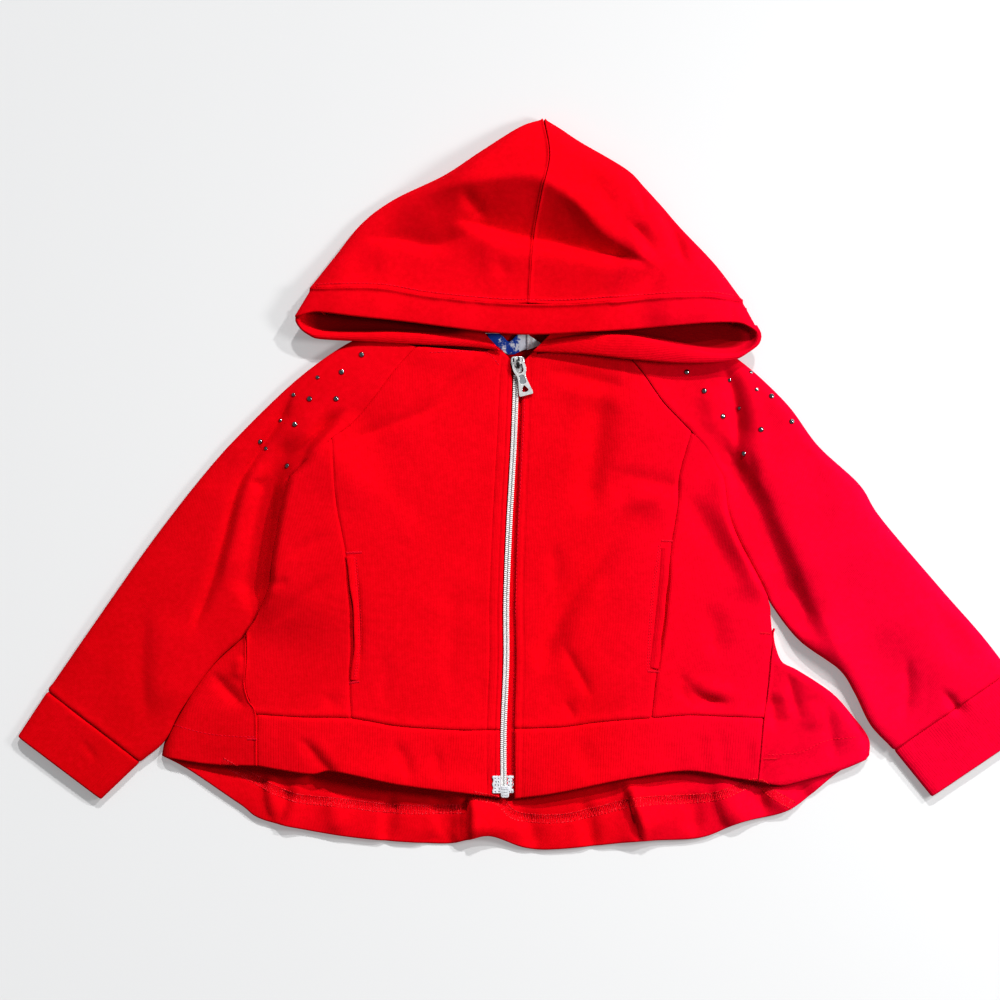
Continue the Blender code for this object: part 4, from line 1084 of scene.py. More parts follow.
def hood_lip(side):
    """From the neck seam under the hood, over its floor, up to the crest, and out over the neck."""
    places = shares(150, SEAM_EDGE, SEAM_EDGE, 2.2)
    neck, inside, crest, free = (along(side["lip_" + line], places)
                                 for line in ("neck", "inside", "crest", "free"))
    place = places[:, None]
    # The crest is higher at the hood's tip and in the middle. The floor rises at both ends.
    lift, until = (6.6, 1.03) if side is RIGHT else (1.6, 1.05)
    top = LIP_CREST + 1.4 * (1 - place) ** 2 + 1.6 * np.clip(1 - place / 0.12, 0, 1)
    top = top + lift * np.sin(math.pi * np.clip(place * until, 0, 1))
    low = LIP_FLOOR + 3.6 * ease((place - 0.72) / 0.22) + 3.2 * ease(1 - place / 0.25)
    low = low + (top - 2.8 - low) * ease(1 - place / 0.05)
    floor = raised(between(neck, inside, np.linspace(0, 0.9, 8)[None]), low)
    fold = raised(inside[:, None], low + 1.1)
    part = np.sqrt(np.linspace(0.01, 1, 20))[None]
    rise = raised(between(inside, crest, part), low + 2.2 + (top - low - 2.2) * part**9)
    part = np.linspace(0.08, 1, 14)[None]
    over = top + 0.7 * np.sin(math.pi * part) - 0.9 * part**3
    return np.concatenate([floor, fold, rise, raised(between(crest, free, part), over)], axis=1)


for word, side in SIDES:
    points = sunk(hood_half(side), side["out"], last=((0, 1.3, 1.2), (3.4, 0.4, 0.6)), foot=SEAM)
    shell(f"cloth_hood_{word}", points, CLOTH, red_cloth)
    shell(f"cloth_hood_lip_{word}", hood_lip(side), CLOTH, red_facing, free=("last",))
shell("cloth_hood_band", sunk(hood_band(), 1, head=DEEP_SEAM), CLOTH + 0.8, red_cloth,
      free=("foot",))

# %% [markdown]
# ## Pocket welts
#
# A welt is a narrow folded strip sewn beside the pocket opening, on the centre front. It follows
# the front's own surface a little above it, and its stitching shows along its inner edge.

# %% Pocket welts
WELT_WALL = 1.0


def pocket_welt(side):
    """The opening edge stands up a little and waves. The inner edge is sewn down flat."""
    places = shares(92, FREE_EDGE, FREE_EDGE, 2.0)
    out = side["out"]
    start, end = (along(side["pocket"], places, -out * inward) for inward in (0.6, 7.0))
    open_by = (2.2 if out < 0 else 0.4) * np.sin(math.pi * places**1.3) + 0.3 * np.sin(places * 19)
    start = start + (end - start) * (open_by / 6.4)[:, None]
    plan, steps, to_end = spread(start, end, (0, 0.3, 0.7, 1.2), (0, 0.4, 0.8, 1.2, 1.7), 4)
    part = steps / (steps + to_end)
    sewn = ease((part - 0.45) / 0.5)
    seat = (CLOTH + WELT_WALL) / 2 * (1 - sewn) + 0.35 * sewn
    lift = (1.2 if out < 0 else 0.7) * np.sin(math.pi * places)[:, None] * (1 - part) ** 1.5
    return raised(plan, body_top(plan) - one_fold(plan, POCKET_MOUTHS[out]) + seat + lift)


for word, side in SIDES:
    points = sunk(pocket_welt(side), -side["out"], last=((1.2, 0.25, 0.4),))
    shell(f"cloth_pocket_welt_{word}", points, WELT_WALL, red_cloth, free=("first", "head", "foot"))

# %% [markdown]
# ## The neck label and the size tab
#
# A printed label shows inside the neck, with a small white tab beside it. Both are left without
# words: the print is only an uneven blue and white mottle.

# %% Label and tab
label_print = Finish("label_print", (0.02, 0.09, 0.42), 0.55)
where = label_print.places()
grain = label_print.noise(where, 900, 2)
paler = ((label_print.node("ShaderNodeSeparateXYZ", {}, where) * 1000 + 7.5) / 5).clamped()
blobs = label_print.noise(where, 150, 3, 0.6) + grain * 0.25 + paler * 0.24
white = ((blobs - 0.63) * 9).clamped()
label_print.feed("Base Color", label_print.mix(white, (0.012, 0.08, 0.46), (0.86, 0.89, 0.97)))
label_print.bump(grain, 0.0002)
tab_cloth = Finish("tab_cloth", (0.9, 0.9, 0.92), 0.7)
grain = tab_cloth.noise(tab_cloth.places(), 1100, 2)
tab_cloth.feed("Base Color", tab_cloth.mix(grain, (0.80, 0.81, 0.85), (0.98, 0.98, 0.99)))
tab_cloth.bump(grain, 0.00025)


def small_cloth(x, head, foot, rows=26):
    """A grid between a head line and a foot line that share their x values."""
    part = np.linspace(0, 1, rows)[:, None]
    return np.stack([x[None] + 0 * part, head[None] + (foot - head)[None] * part], -1)


x = np.linspace(-28, 3, 40)
plan = small_cloth(x, 113 - 6 * np.exp(-(((x + 12) / 4.5) ** 2)),
                   np.interp(x, (-28, -18, -12, -8, -2, 3), (104, 99.5, 97.2, 97.5, 100.4, 102)))
rise = np.interp(-plan[..., 1], (-113, -104, -96), (4.3, 4.1, 3.4)) + 0.5 * lumps(plan, 5, 5)
shell("print_neck_label", raised(plan, rise), PRINT, label_print.material, free=("head", "foot"))
x = np.linspace(1.4, 12.4, 22)
plan = small_cloth(x, np.interp(x, (1.4, 12.4), (112.6, 105.4)),
                   np.interp(x, (1.4, 12.4), (100.6, 104.2)), 20)
rise = 5.0 + 0.7 * np.exp(-(((plan[..., 0] - 6.2) / 1.6) ** 2))
shell("print_size_tab", raised(plan, rise), 0.45, tab_cloth.material,
      free=("head", "foot", "first", "last"))

# %% [markdown]
# ## The zip
#
# A moulded zip has a row of teeth along the edge of each tape. A tooth is a small block with a
# narrower head, and the heads of the two rows interlock. There are hundreds, all alike, so one
# tooth is modelled and Geometry Nodes repeat it along the zip's middle line.

# %% One tree that repeats a shape along a line
INPUTS = {"Geometry": "Geometry", "Shape": "Object", "Pitch": "Float", "Size": "Vector",
          "Wobble": "Float", "Seed": "Int", "Finish": "Material"}


def repeating_tree():
    """Sets Shape out along the edges of Geometry, each turned by up to Wobble either way."""
    tree = bpy.data.node_groups.new("repeat along a line", "GeometryNodeTree")
    for label, kind in INPUTS.items():
        tree.interface.new_socket(label, in_out="INPUT", socket_type="NodeSocket" + kind)
    tree.interface.new_socket("Geometry", in_out="OUTPUT", socket_type="NodeSocketGeometry")
    given = tree.nodes.new("NodeGroupInput").outputs

    def step(kind, *values, settings=(), out=0, **named):
        made = tree.nodes.new(kind)
        for setting, value in dict(settings).items():
            setattr(made, setting, value)
        for socket, value in [*enumerate(values), *named.items()]:
            spot = made.inputs[socket.replace("_", " ") if isinstance(socket, str) else socket]
            if isinstance(value, bpy.types.NodeSocket):
                tree.links.new(value, spot)
            elif value is not None:
                spot.default_value = value
        return made.outputs[out] if len(made.outputs) else None

    line = step("GeometryNodeMeshToCurve", Mesh=given["Geometry"])
    spaced = step("GeometryNodeResampleCurve", settings={"mode": "LENGTH"}, Curve=line,
                  Length=given["Pitch"])
    aimed = step("FunctionNodeAlignRotationToVector", settings={"axis": "X"},
                 Vector=step("GeometryNodeInputTangent"))
    back = step("ShaderNodeMath", given["Wobble"], -1.0, settings={"operation": "MULTIPLY"})
    chance = step("FunctionNodeRandomValue", None, None, back, given["Wobble"],
                  settings={"data_type": "FLOAT"}, out=1, Seed=given["Seed"])
    turn = step("FunctionNodeEulerToRotation", Euler=step("ShaderNodeCombineXYZ", Z=chance))
    aimed = step("FunctionNodeRotateRotation", settings={"rotation_space": "LOCAL"},
                 Rotation=aimed, Rotate_By=turn)
    shape = step("GeometryNodeObjectInfo", out="Geometry", Object=given["Shape"], As_Instance=True)
    set_out = step("GeometryNodeInstanceOnPoints", Points=spaced, Instance=shape, Rotation=aimed,
                   Scale=given["Size"])
    done = step("GeometryNodeSetMaterial", Material=given["Finish"],
                Geometry=step("GeometryNodeRealizeInstances", Geometry=set_out))
    step("NodeGroupOutput", done)
    return tree


REPEAT = repeating_tree()


def final_mesh(source):
    """The mesh that an object comes to, with its modifiers applied. The object goes."""
    bpy.context.scene.collection.objects.link(source)
    ready = source.evaluated_get(bpy.context.evaluated_depsgraph_get())
    mesh = bpy.data.meshes.new_from_object(ready)
    bpy.data.objects.remove(source)
    mesh.materials.clear()
    return mesh


def repeated(name, lines, shape, pitch, finish, wobble=0.0):
    """A mesh of the shape set along each line of points in millimetres."""
    mesh = bpy.data.meshes.new(name)
    spots, edges = [], []
    for line in lines:
        edges += [(len(spots) + step, len(spots) + step + 1) for step in range(len(line) - 1)]
        spots += (np.asarray(line) * MM).tolist()
    mesh.from_pydata(spots, edges, [])
    base = bpy.data.objects.new(name + "_line", mesh)
    nodes = base.modifiers.new("repeat", "NODES")
    nodes.node_group = REPEAT
    given = {"Shape": shape, "Pitch": pitch * MM, "Size": (1, 1, 1), "Wobble": wobble, "Seed": 1,
             "Finish": finish}
    for item in REPEAT.interface.items_tree:
        if item.in_out == "INPUT" and item.name in given:
            nodes[item.identifier] = given[item.name]
    made = final_mesh(base)
    made.name = name
    made.polygons.foreach_set("material_index", [0] * len(made.polygons))
    print(f"{name}: {len(made.polygons)} faces")
    return placed(name, made, finish)


def block(name, centre, size, rounding, smooth_shaded=False):
    """A bevelled block in millimetres, kept out of the scene."""
    made = bmesh.new()
    place = Matrix.LocRotScale(Vector(centre), None, Vector(size))
    bmesh.ops.create_cube(made, size=1, matrix=place)
    bmesh.ops.bevel(made, geom=made.edges[:], offset=rounding, segments=1, affect="EDGES")
    bmesh.ops.scale(made, vec=(MM, MM, MM), verts=made.verts)
    mesh = bpy.data.meshes.new(name)
    made.to_mesh(mesh)
    made.free()
    if smooth_shaded:
        mesh.shade_smooth()
    return bpy.data.objects.new(name, mesh)


print("inputs:", [item.name for item in REPEAT.interface.items_tree])

# %% [markdown]
# ### Bright metal
#
# The teeth, the slider and the pull tab are pale bright metal. A faint unevenness in its roughness
# and height keeps the small faces from looking like plastic.

# %% Metals
def bright(name, colour, roughness, metallic=1.0, scale=500, relief=0.00004, uneven=0.12,
           shade=0.86):
    made = Finish(name, colour, roughness, Metallic=metallic)
    where = made.places()
    marks = made.noise(where, scale, 3, 0.6)
    fine = made.noise(where, scale * 4, 2)
    made.feed("Roughness", roughness - uneven / 2 + marks * uneven)
    made.feed("Base Color", made.mix(marks, [channel * shade for channel in colour], colour))
    made.bump(marks * 0.6 + fine * 0.4, relief)
    return made.material


tooth_metal = bright("zip_teeth", (0.97, 0.97, 0.96), 0.34, 0.3)
box_metal = bright("zip_box_metal", (0.62, 0.63, 0.66), 0.5, 0.1, 900, 0.0002, shade=0.7)
# The tooth heads are a darker grey: painted shade where the two rows interlock.
head_metal_painted_shade = bright("zip_teeth_heads", (0.62, 0.62, 0.61), 0.4, 0.3)
zip_metal = bright("zip_metal", (0.98, 0.98, 0.97), 0.22, 0.45, 420, 0.00012, shade=0.55)
# A dark metal for painted reflections on rounded edges and painted shade in the slider's slots and
# under it.
painted_dark_metal = bright("zip_metal_inner", (0.10, 0.10, 0.10), 0.42)
panel_metal = bright("zip_metal_panel", (0.55, 0.60, 0.62), 0.34, 0.6, 700, 0.0001, shade=0.5)
stud_metal = bright("stud_metal", (0.30, 0.30, 0.31), 0.10, uneven=0.05)

film_finish = Finish("zip_film", (0.80, 0.81, 0.83), 0.3)
where = film_finish.places()
specks = film_finish.noise(where, 700, 2)
holes = film_finish.node("ShaderNodeTexVoronoi", {"voronoi_dimensions": "2D"}, where, Scale=400.0,
                         Randomness=0.35)
dots = ((0.24 - holes) * 14).clamped()
pale = film_finish.mix(specks, (0.40, 0.41, 0.44), (0.80, 0.81, 0.83))
film_finish.feed("Base Color", film_finish.mix(dots, pale, (0.16, 0.16, 0.18)))
film_finish.bump(specks - dots * 0.6, 0.0002)

tape_finish = Finish("zip_tape", (0.62, 0.0006, 0.011), 0.85, Specular_IOR_Level=0.06)
cords, picks = ((axis * (2 * math.pi / pitch)).maths("SINE") * 0.5 + 0.5
                for axis, pitch in zip(tape_finish.cloth_places(), (0.9, 0.7)))
tape_finish.bump(cords * 0.6 + picks * 0.4, 0.0002)
tape_finish.feed("Base Color",
                 tape_finish.mix(cords, (0.50, 0.0004, 0.007), (0.70, 0.0008, 0.015)))

# %% Tape and teeth
def beside_zip(near, far, ends, rows, columns):
    """A grid that follows the zip, from near to far beside its middle line."""
    y = np.linspace(*ends, rows)[:, None]
    part = np.linspace(0, 1, columns)[None]
    return np.stack([zip_x(y) + near + (np.reshape(far, (-1, 1)) - near) * part, y + 0 * part], -1)


UNDER = -(CLOTH / 2 + 2 * GAP + TAPE / 2)  # from a front's middle down to the tape's
for word, near, far in (("left", -0.5, -13), ("right", 0.5, 14)):
    y = np.linspace(92, -232, 160)
    level = body_top(np.column_stack([zip_x(y), y]))[:, None] + UNDER
    points = raised(beside_zip(near, far, (92, -232), 160, 9), level)
    shell(f"cloth_zip_tape_{word}", points, TAPE, tape_finish.material)

TOOTH_PITCH = 1.5
CHAIN_RISE = UNDER + TAPE / 2 + GAP + CHAIN_HEIGHT / 2
y = np.linspace(82, -226, 400)
line = np.column_stack([zip_x(y), y])
centre_line = raised(line, body_top(line) + CHAIN_RISE)
# The line runs down the zip, so a shape's +Y side comes to lie on the right.
left_tooth, right_tooth = (block(f"{word} tooth", (0, place, 0), (1.14, 1.8, 1.9), 0.2)
                           for word, place in (("left", 1.34), ("right", -1.34)))
tooth_head = block("tooth head", (0, 0, -0.3), (0.56, 1.5, 1.1), 0.12)
later = centre_line - [0, TOOTH_PITCH / 2, 0]
teeth = [repeated("zip_teeth_right", [centre_line], left_tooth, TOOTH_PITCH, tooth_metal),
         repeated("zip_teeth_left", [later], right_tooth, TOOTH_PITCH, tooth_metal),
         repeated("zip_teeth_heads", [centre_line], tooth_head, TOOTH_PITCH / 2, head_metal_painted_shade)]

# %% [markdown]
# ## The slider and the pull tab
#
# The slider is a small casting: a plate that is wide where the two rows part and narrow where they
# leave it together, with rims, and a bridge that holds the pull tab's bar. The tab is a stamped
# plate with a slot for the bridge, a sunk panel and a hole. Outlines are filled flat curves, which
# take their thickness and their rounded edges from the curve's own settings.

# %% Plates from outlines
def at(x, y, z):
    """A move by that many millimetres."""
    return Matrix.Translation(Vector((x, y, z)) * MM)


def plate(name, rings, thickness, rounding, finish, place):
    """A plate from its outer outline and its holes in millimetres, put in its place as a mesh."""
    curve = bpy.data.curves.new(name, "CURVE")
    curve.dimensions, curve.fill_mode = "2D", "BOTH"
    curve.extrude = (thickness / 2 - rounding) * MM
    curve.bevel_depth, curve.bevel_resolution, curve.offset = rounding * MM, 2, -rounding * MM
    for ring in rings:
        spline = curve.splines.new("POLY")
        spline.points.add(len(ring) - 1)
        for spot, (x, y) in zip(spline.points, ring):
            spot.co = (x * MM, y * MM, 0, 1)
        spline.use_cyclic_u = True
    mesh = final_mesh(bpy.data.objects.new(name, curve))
    mesh.transform(place)
    made = bmesh.new()
    made.from_mesh(mesh)
    bmesh.ops.remove_doubles(made, verts=made.verts, dist=1e-6)
    bmesh.ops.recalc_face_normals(made, faces=made.faces)
    made.to_mesh(mesh)
    made.free()
    if finish != zip_metal:
        return placed(name, mesh, finish)
    # Painted reflection: the rounded edges of polished metal get a dark metal, which stands for the
    # dark side of the room mirrored in them.
    upright = place.to_3x3().inverted()
    for face in mesh.polygons:
        face.material_index = int(abs((upright @ face.normal).z) < 0.8)
    return placed(name, mesh, finish, painted_dark_metal)


def mirrored(half_outline, steps=6):
    """A closed outline from its right half, given as (half width, y) from the head to the foot."""
    right = smooth(half_outline, steps)
    return [tuple(spot) for spot in right] + [(-x, y) for x, y in right[::-1]]


def box_ring(x, y, wide, long):
    return [(x - wide / 2, y - long / 2), (x + wide / 2, y - long / 2),
            (x + wide / 2, y + long / 2), (x - wide / 2, y + long / 2)]


SLIDER_PLACE, LEAN, SAG = (-5.6, 89.5), 15, 4
CLOTH_TOP = float(body_top(np.array([SLIDER_PLACE]))[0]) + CLOTH / 2  # under the slider
PLATE_LOW, PLATE_WALL, TUNNEL = CLOTH_TOP + GAP, 1.6, 2.9
SLIDER_HALF = ((0.01, 6.3), (2.6, 6.25), (4.6, 5.4), (5.2, 3.2), (5.05, 0.6), (4.2, -2.4),
               (3.5, -4.6), (2.7, -6.0), (0.01, -6.3))
RIM = ((3.3, 5.0), (4.5, 4.6), (4.75, 2.8), (4.6, 0.4), (3.9, -2.4), (3.0, -4.4), (2.5, -4.2),
       (3.2, -2.2), (3.8, 0.4), (3.9, 2.6))
BRIDGE = ((3.3, -0.6), (3.3, 1.6), (2.9, 3.0), (1.8, 3.85), (0, 4.0), (-1.8, 3.85), (-2.9, 3.0),
          (-3.3, 1.6), (-3.3, -0.6), (-1.8, -0.6), (-1.8, 1.4), (-1.5, 2.4), (-0.8, 2.85),
          (0, 2.9), (0.8, 2.85), (1.5, 2.4), (1.8, 1.4), (1.8, -0.6))
at_slider = at(*SLIDER_PLACE, PLATE_LOW + PLATE_WALL / 2)
slider_parts = [plate("slider_plate", [mirrored(SLIDER_HALF)], PLATE_WALL, 0.45, zip_metal,
                      at_slider)]
hinge = Vector((SLIDER_PLACE[0] + 0.4, SLIDER_PLACE[1] + 0.6,
                PLATE_LOW + PLATE_WALL + TUNNEL / 2))
print("hinge at", [round(value, 2) for value in hinge], "mm")
on_edge = at(hinge.x, hinge.y, PLATE_LOW + PLATE_WALL)
on_edge = on_edge @ Matrix.Rotation(math.pi / 2, 4, "Z") @ Matrix.Rotation(math.pi / 2, 4, "X")
slider_parts.append(plate("slider_bridge", [BRIDGE], 2.4, 0.28, zip_metal, on_edge))
for word, sign in (("left", -1), ("right", 1)):
    rim = [(sign * x, y) for x, y in RIM]
    slider_parts.append(plate(f"slider_rim_{word}", [rim], 0.7, 0.2, zip_metal,
                              at_slider @ at(0, 0, PLATE_WALL / 2 + 0.15)))
# Thin dark sheets on the plate are painted shade in the slider's slots.
for slot in ((-3.0, 3.4, 1.0, 2.8), (0.9, 4.6, 1.2, 2.2), (3.1, 1.0, 0.8, 2.6)):
    slider_parts.append(plate(f"slider_slot_{slot[0]}", [box_ring(*slot)], 0.1, 0.03, painted_dark_metal,
                              at_slider @ at(0, 0, PLATE_WALL / 2 + 0.02)))
# The stem fills the room between the plate and the chain. It is dark with painted shade, as it lies
# under the plate.
stem = block("stem", (0, 0, 0), (4.4, 10.4, 3.4), 0.3).data
stem.transform(at(*SLIDER_PLACE, CLOTH_TOP - 0.4))
slider_parts.append(placed("stem", stem, painted_dark_metal))

# %% The pull tab
TAB_HALF = ((3.6, 0.8), (4.6, 0.2), (5.1, -3.0), (4.6, -6.0), (3.3, -10.5), (4.3, -17.0),
            (5.4, -23.0), (4.6, -24.4))
TAB_HOLE = ((0, -16.6), (-1.4, -18.4), (-2.4, -20.4), (-1.6, -21.3), (0.1, -21.7), (1.7, -21.3),
            (2.5, -20.3), (1.3, -18.3))
PANEL_HALF = ((0.01, -8.6), (1.5, -9.0), (2.0, -11.0), (2.3, -13.4), (1.9, -15.0), (0.01, -15.4))
TAB_WALL, PANEL_DEPTH = 1.2, 0.35
at_tab = at(*hinge) @ Matrix.Rotation(math.radians(LEAN), 4, "Z")
at_tab = at_tab @ Matrix.Rotation(math.radians(SAG), 4, "X")
slot = [(-2.7, -0.7), (2.7, -0.7)]
slot += [(2.7 * math.cos(a), -4.5 - 2.7 * math.sin(a)) for a in np.linspace(0, math.pi, 9)]
panel = mirrored(PANEL_HALF, 4)
rings = [mirrored(TAB_HALF, 4), slot, TAB_HOLE]
tab_parts = [plate("tab_base", rings, TAB_WALL - PANEL_DEPTH, 0.2, zip_metal,
                   at_tab @ at(0, 0, -PANEL_DEPTH / 2)),
             plate("tab_face", [*rings, panel], PANEL_DEPTH + 0.1, 0.16, zip_metal,
                   at_tab @ at(0, 0, (TAB_WALL - PANEL_DEPTH) / 2)),
             plate("tab_panel", [[(x * 1.12, -12 + (y + 12) * 1.1) for x, y in panel]], 0.1, 0.02,
                   panel_metal, at_tab @ at(0, 0, TAB_WALL / 2 - PANEL_DEPTH + 0.04))]


def joined(name, parts):
    """Several meshes as one piece that keeps their finishes."""
    whole = bmesh.new()
    finishes = []
    for part in parts:
        finishes += [finish for finish in part.data.materials if finish not in finishes]
        slots = [finishes.index(finish) for finish in part.data.materials]
        before = len(whole.faces)
        whole.from_mesh(part.data)
        whole.faces.ensure_lookup_table()
        for face in whole.faces[before:]:
            face.material_index = slots[face.material_index]
        bpy.data.objects.remove(part)
    mesh = bpy.data.meshes.new(name)
    whole.to_mesh(mesh)
    whole.free()
    print(f"{name}: {len(mesh.polygons)} faces, {[finish.name for finish in finishes]}")
    return placed(name, mesh, *finishes)


chain = joined("metal_zip_chain", teeth)
slider = joined("metal_zip_slider", slider_parts)
tab = joined("metal_pull_tab", tab_parts)

# %% [markdown]
# ### The foot of the zip
#
# At the hem the two tapes are stiffened with clear film, punched with small holes, and the right
# one's pin sits in a box that is fixed to the left one.

# %% Box and film
BOX_PLACE, BOX_HEIGHT = (-15.1, -229.6), 2.6
BOX_HALF = ((0.01, 4.5), (2.2, 4.5), (3.0, 3.9), (3.2, 2.2), (3.2, -2.4), (2.7, -4.0), (1.4, -4.5),
            (0.01, -4.5))
box_low = float(body_top(np.array([BOX_PLACE]))[0]) - CLOTH / 2 - GAP
box_at = at(*BOX_PLACE, box_low + BOX_HEIGHT / 2)
foot_parts = [plate("box_body", [mirrored(BOX_HALF, 4)], BOX_HEIGHT, 0.55, box_metal, box_at)]
foot_parts += [plate(f"box_rib_{row}", [box_ring(0, row, 4.6, 0.7)], 0.5, 0.12, box_metal,
                     box_at @ at(0, 0, BOX_HEIGHT / 2)) for row in (-1.9, 0.2, 2.3)]
zip_box = joined("metal_zip_box", foot_parts)

scallop = 0.35 * np.sin(np.linspace(0, 5 * math.pi, 40))
for word, near, far, rise in (("left", -2.4, -8.2 - scallop, RIB / 2 + GAP + FILM / 2),
                              ("right", 2.6, 7.2 + scallop, -GAP)):
    plan = beside_zip(near, far, (-217.5, -230.5), 40, 14)
    shell(f"film_{word}", raised(plan, body_top(plan) + rise), FILM, film_finish.material,
          free=("last",))

# %% [markdown]
# ## Studs
#
# The sleeve heads are scattered with small polished dome studs. Each one stands square to the
# cloth under it, so rays sent down from above find the cloth's height and slope.

# %% Studs
# The place and the width of each one.
STUDS = {
    "left": ((-122, 97, 4), (-137, 84, 4), (-155, 80, 3), (-173, 67, 3), (-161, 64, 4),
             (-141, 64, 4), (-183, 48, 3), (-172, 45, 4), (-198, 32, 4), (-194, 27, 3),
             (-178, 14, 4)),
    "right": ((121, 84, 4), (134, 70, 4), (148, 51, 4), (163, 23, 4), (153, 78, 3), (160, 57, 3),
              (169, 84, 3), (173, 71, 3), (184, 66, 4), (176, 41, 4), (199, 47, 4)),
}
DOME = ((1.0, 0.0), (1.0, 0.10), (0.93, 0.26), (0.78, 0.42), (0.56, 0.55), (0.30, 0.63),
        (0.0, 0.66))  # radius and height, for a stud of width 2
DOME_SIDES = 20
SEAT = 0.05  # from the sleeve up to a stud's foot
RAYS_FROM = 60  # a height over everything


def surface_of(names):
    """A tree of the named pieces' faces, for rays."""
    spots, faces = [], []
    for name in names:
        mesh = bpy.data.objects[name].data
        found = np.empty(len(mesh.vertices) * 3)
        mesh.vertices.foreach_get("co", found)
        faces += [[corner + len(spots) for corner in face.vertices] for face in mesh.polygons]
        spots += found.reshape(-1, 3).tolist()
    return BVHTree.FromPolygons(spots, faces)


def under(surface, x, y):
    """The point of the surface under a place in millimetres, if there is one."""
    return surface.ray_cast(Vector((x, y, RAYS_FROM)) * MM, Vector((0, 0, -1)))[0]


def dome(name, size, place, upright):
    made = bmesh.new()
    rings = [[made.verts.new((radius * math.cos(a), radius * math.sin(a), height))
              for a in np.linspace(0, 2 * math.pi, DOME_SIDES, endpoint=False)]
             for radius, height in DOME[:-1]]
    tip = made.verts.new((0, 0, DOME[-1][1]))
    for low, high in zip(rings, rings[1:]):
        for a in range(DOME_SIDES):
            made.faces.new((low[a - 1], low[a], high[a], high[a - 1]))
    for a in range(DOME_SIDES):
        made.faces.new((rings[-1][a - 1], rings[-1][a], tip))
    made.faces.new(rings[0][::-1])
    mesh = bpy.data.meshes.new(name)
    made.to_mesh(mesh)
    made.free()
    mesh.shade_smooth()
    mesh.transform(Matrix.Translation(place) @ upright @ Matrix.Scale(size / 2 * MM, 4))
    return placed(name, mesh, stud_metal)


studs = []
for word, table in STUDS.items():
    cloth = surface_of([f"cloth_sleeve_{word}"])
    for number, (x, y, size) in enumerate(table, 1):
        west, east, south, north, middle = (
            under(cloth, x + right * size / 2, y + up * size / 2)
            for right, up in ((-1, 0), (1, 0), (0, -1), (0, 1), (0, 0)))
        facing = (east - west).cross(north - south).normalized()
        upright = facing.to_track_quat("Z", "Y").to_matrix().to_4x4()
        studs.append(dome(f"metal_stud_{word}_{number:02d}", size, middle + facing * SEAT * MM,
                          upright))
print("studs:", len(studs))

# %% [markdown]
# ## Stitches
#
# A row of stitches is one small rounded bar, repeated along a line that lies on the cloth. Rays
# sent down from above give the line its height, so the rows follow every fold and seam. Bar tacks
# are the same bar set crosswise and close together, and the hem has two rows with a thread that
# zigzags between them, because it shows its inner side.

# %% Threads
red_thread = Finish("red_thread", (0.72, 0.002, 0.025), 0.6, Specular_IOR_Level=0.2)
twist = red_thread.noise(red_thread.places(), 2600, 2)
red_thread.feed("Base Color", red_thread.mix(twist, (0.46, 0.0008, 0.010), (0.82, 0.006, 0.05)))
red_thread.bump(twist, 0.00012)
pale_thread = Finish("pale_thread", (0.80, 0.03, 0.06), 0.6, Specular_IOR_Level=0.2)
twist = pale_thread.noise(pale_thread.places(), 1100, 2)
# Painted highlights: random pink spots where light would catch the thread.
painted_highlights = ((twist - 0.52) * 7).clamped()
pale_thread.feed("Base Color",
                 pale_thread.mix(painted_highlights, (0.60, 0.001, 0.012), (0.86, 0.07, 0.10)))
pale_thread.bump(twist, 0.00012)

cloth_faces = surface_of([piece.name for piece in garment])
POINT_STEP = 0.8  # between the points of a line that lies on the cloth


def on_cloth(line, rise):
    """The line's points, close together, at the height of the cloth under them plus rise."""
    found = []
    for x, y in along(line, max(3, int(lengths_of(smooth(line))[-1] / POINT_STEP))):
        touch = under(cloth_faces, x, y)
        if touch:
            found.append((x, y, touch.z / MM + rise))
    heights = np.array(found)
    padded = np.pad(heights[:, 2], 2, mode="edge")
    heights[:, 2] = np.maximum(heights[:, 2], np.convolve(padded, np.ones(5) / 5, "valid"))
    return heights


def bar(name, length, width, height):
    return block(name, (0, 0, 0), (length, width, height), min(width, height) * 0.3, True)


def shifted(line, out, first=0.0, last=1.0):
    """The part of a line from first to last, moved sideways."""
    return along(line, np.linspace(first, last, 40), out)


stitches = []


def stitched(name, lines, shape, pitch, thread=red_thread, rise=0.02, wobble=0.05):
    rows = [on_cloth(line, rise) for line in lines]
    stitches.append(repeated(name, rows, shape, pitch, thread.material, wobble))


# %% Rows of stitches
stitch = bar("stitch", 2.1, 0.5, 0.4)
short_stitch = bar("short stitch", 1.5, 0.45, 0.4)
tack_bar = bar("tack bar", 0.5, 1.7, 0.5)
left_edge, right_edge = (front_edge(side, (head, 40, -30, -100, -170, -226))
                         for side, head in ((LEFT, 92), (RIGHT, 93)))
NECK_ROWS = (((-70, 98.5), (-46, 99.4), (-32, 99.5), (-25, 96), (-20, 90)),
             ((70, 94), (44, 95.4), (22, 97), (10, 96)))
POCKET_ROWS = (((-125.6, -56), (-124, -79), (-122.4, -102), (-123, -124), (-126, -143)),
               ((-127, -55), (-125.6, -79), (-124, -102), (-124.6, -124), (-127.4, -143)),
               ((101.5, -45), (95.6, -87), (92.6, -138)), ((100, -46), (94.2, -87), (91.2, -138)))
FLAP_ROWS = (((-262, -180), (-238, -186), (-216, -188), (-203, -188)),
             ((182, -202), (206, -200), (224, -192), (246, -189)))
TACKS = (((-133, -51), (-122, -50.5)), ((-131, -148), (-124, -147)), ((102, -42), (110, -42.4)),
         ((92, -139.5), (100, -140)), ((-207, -190), (-200.5, -190)),
         ((176, -111), (183, -111.6)), ((178, -205), (188, -205)))
placket = [shifted(left_edge, 3.75), shifted(left_edge, 9.75), shifted(right_edge, -5.2)]
stitched("stitch_placket", placket, stitch, 2.9)
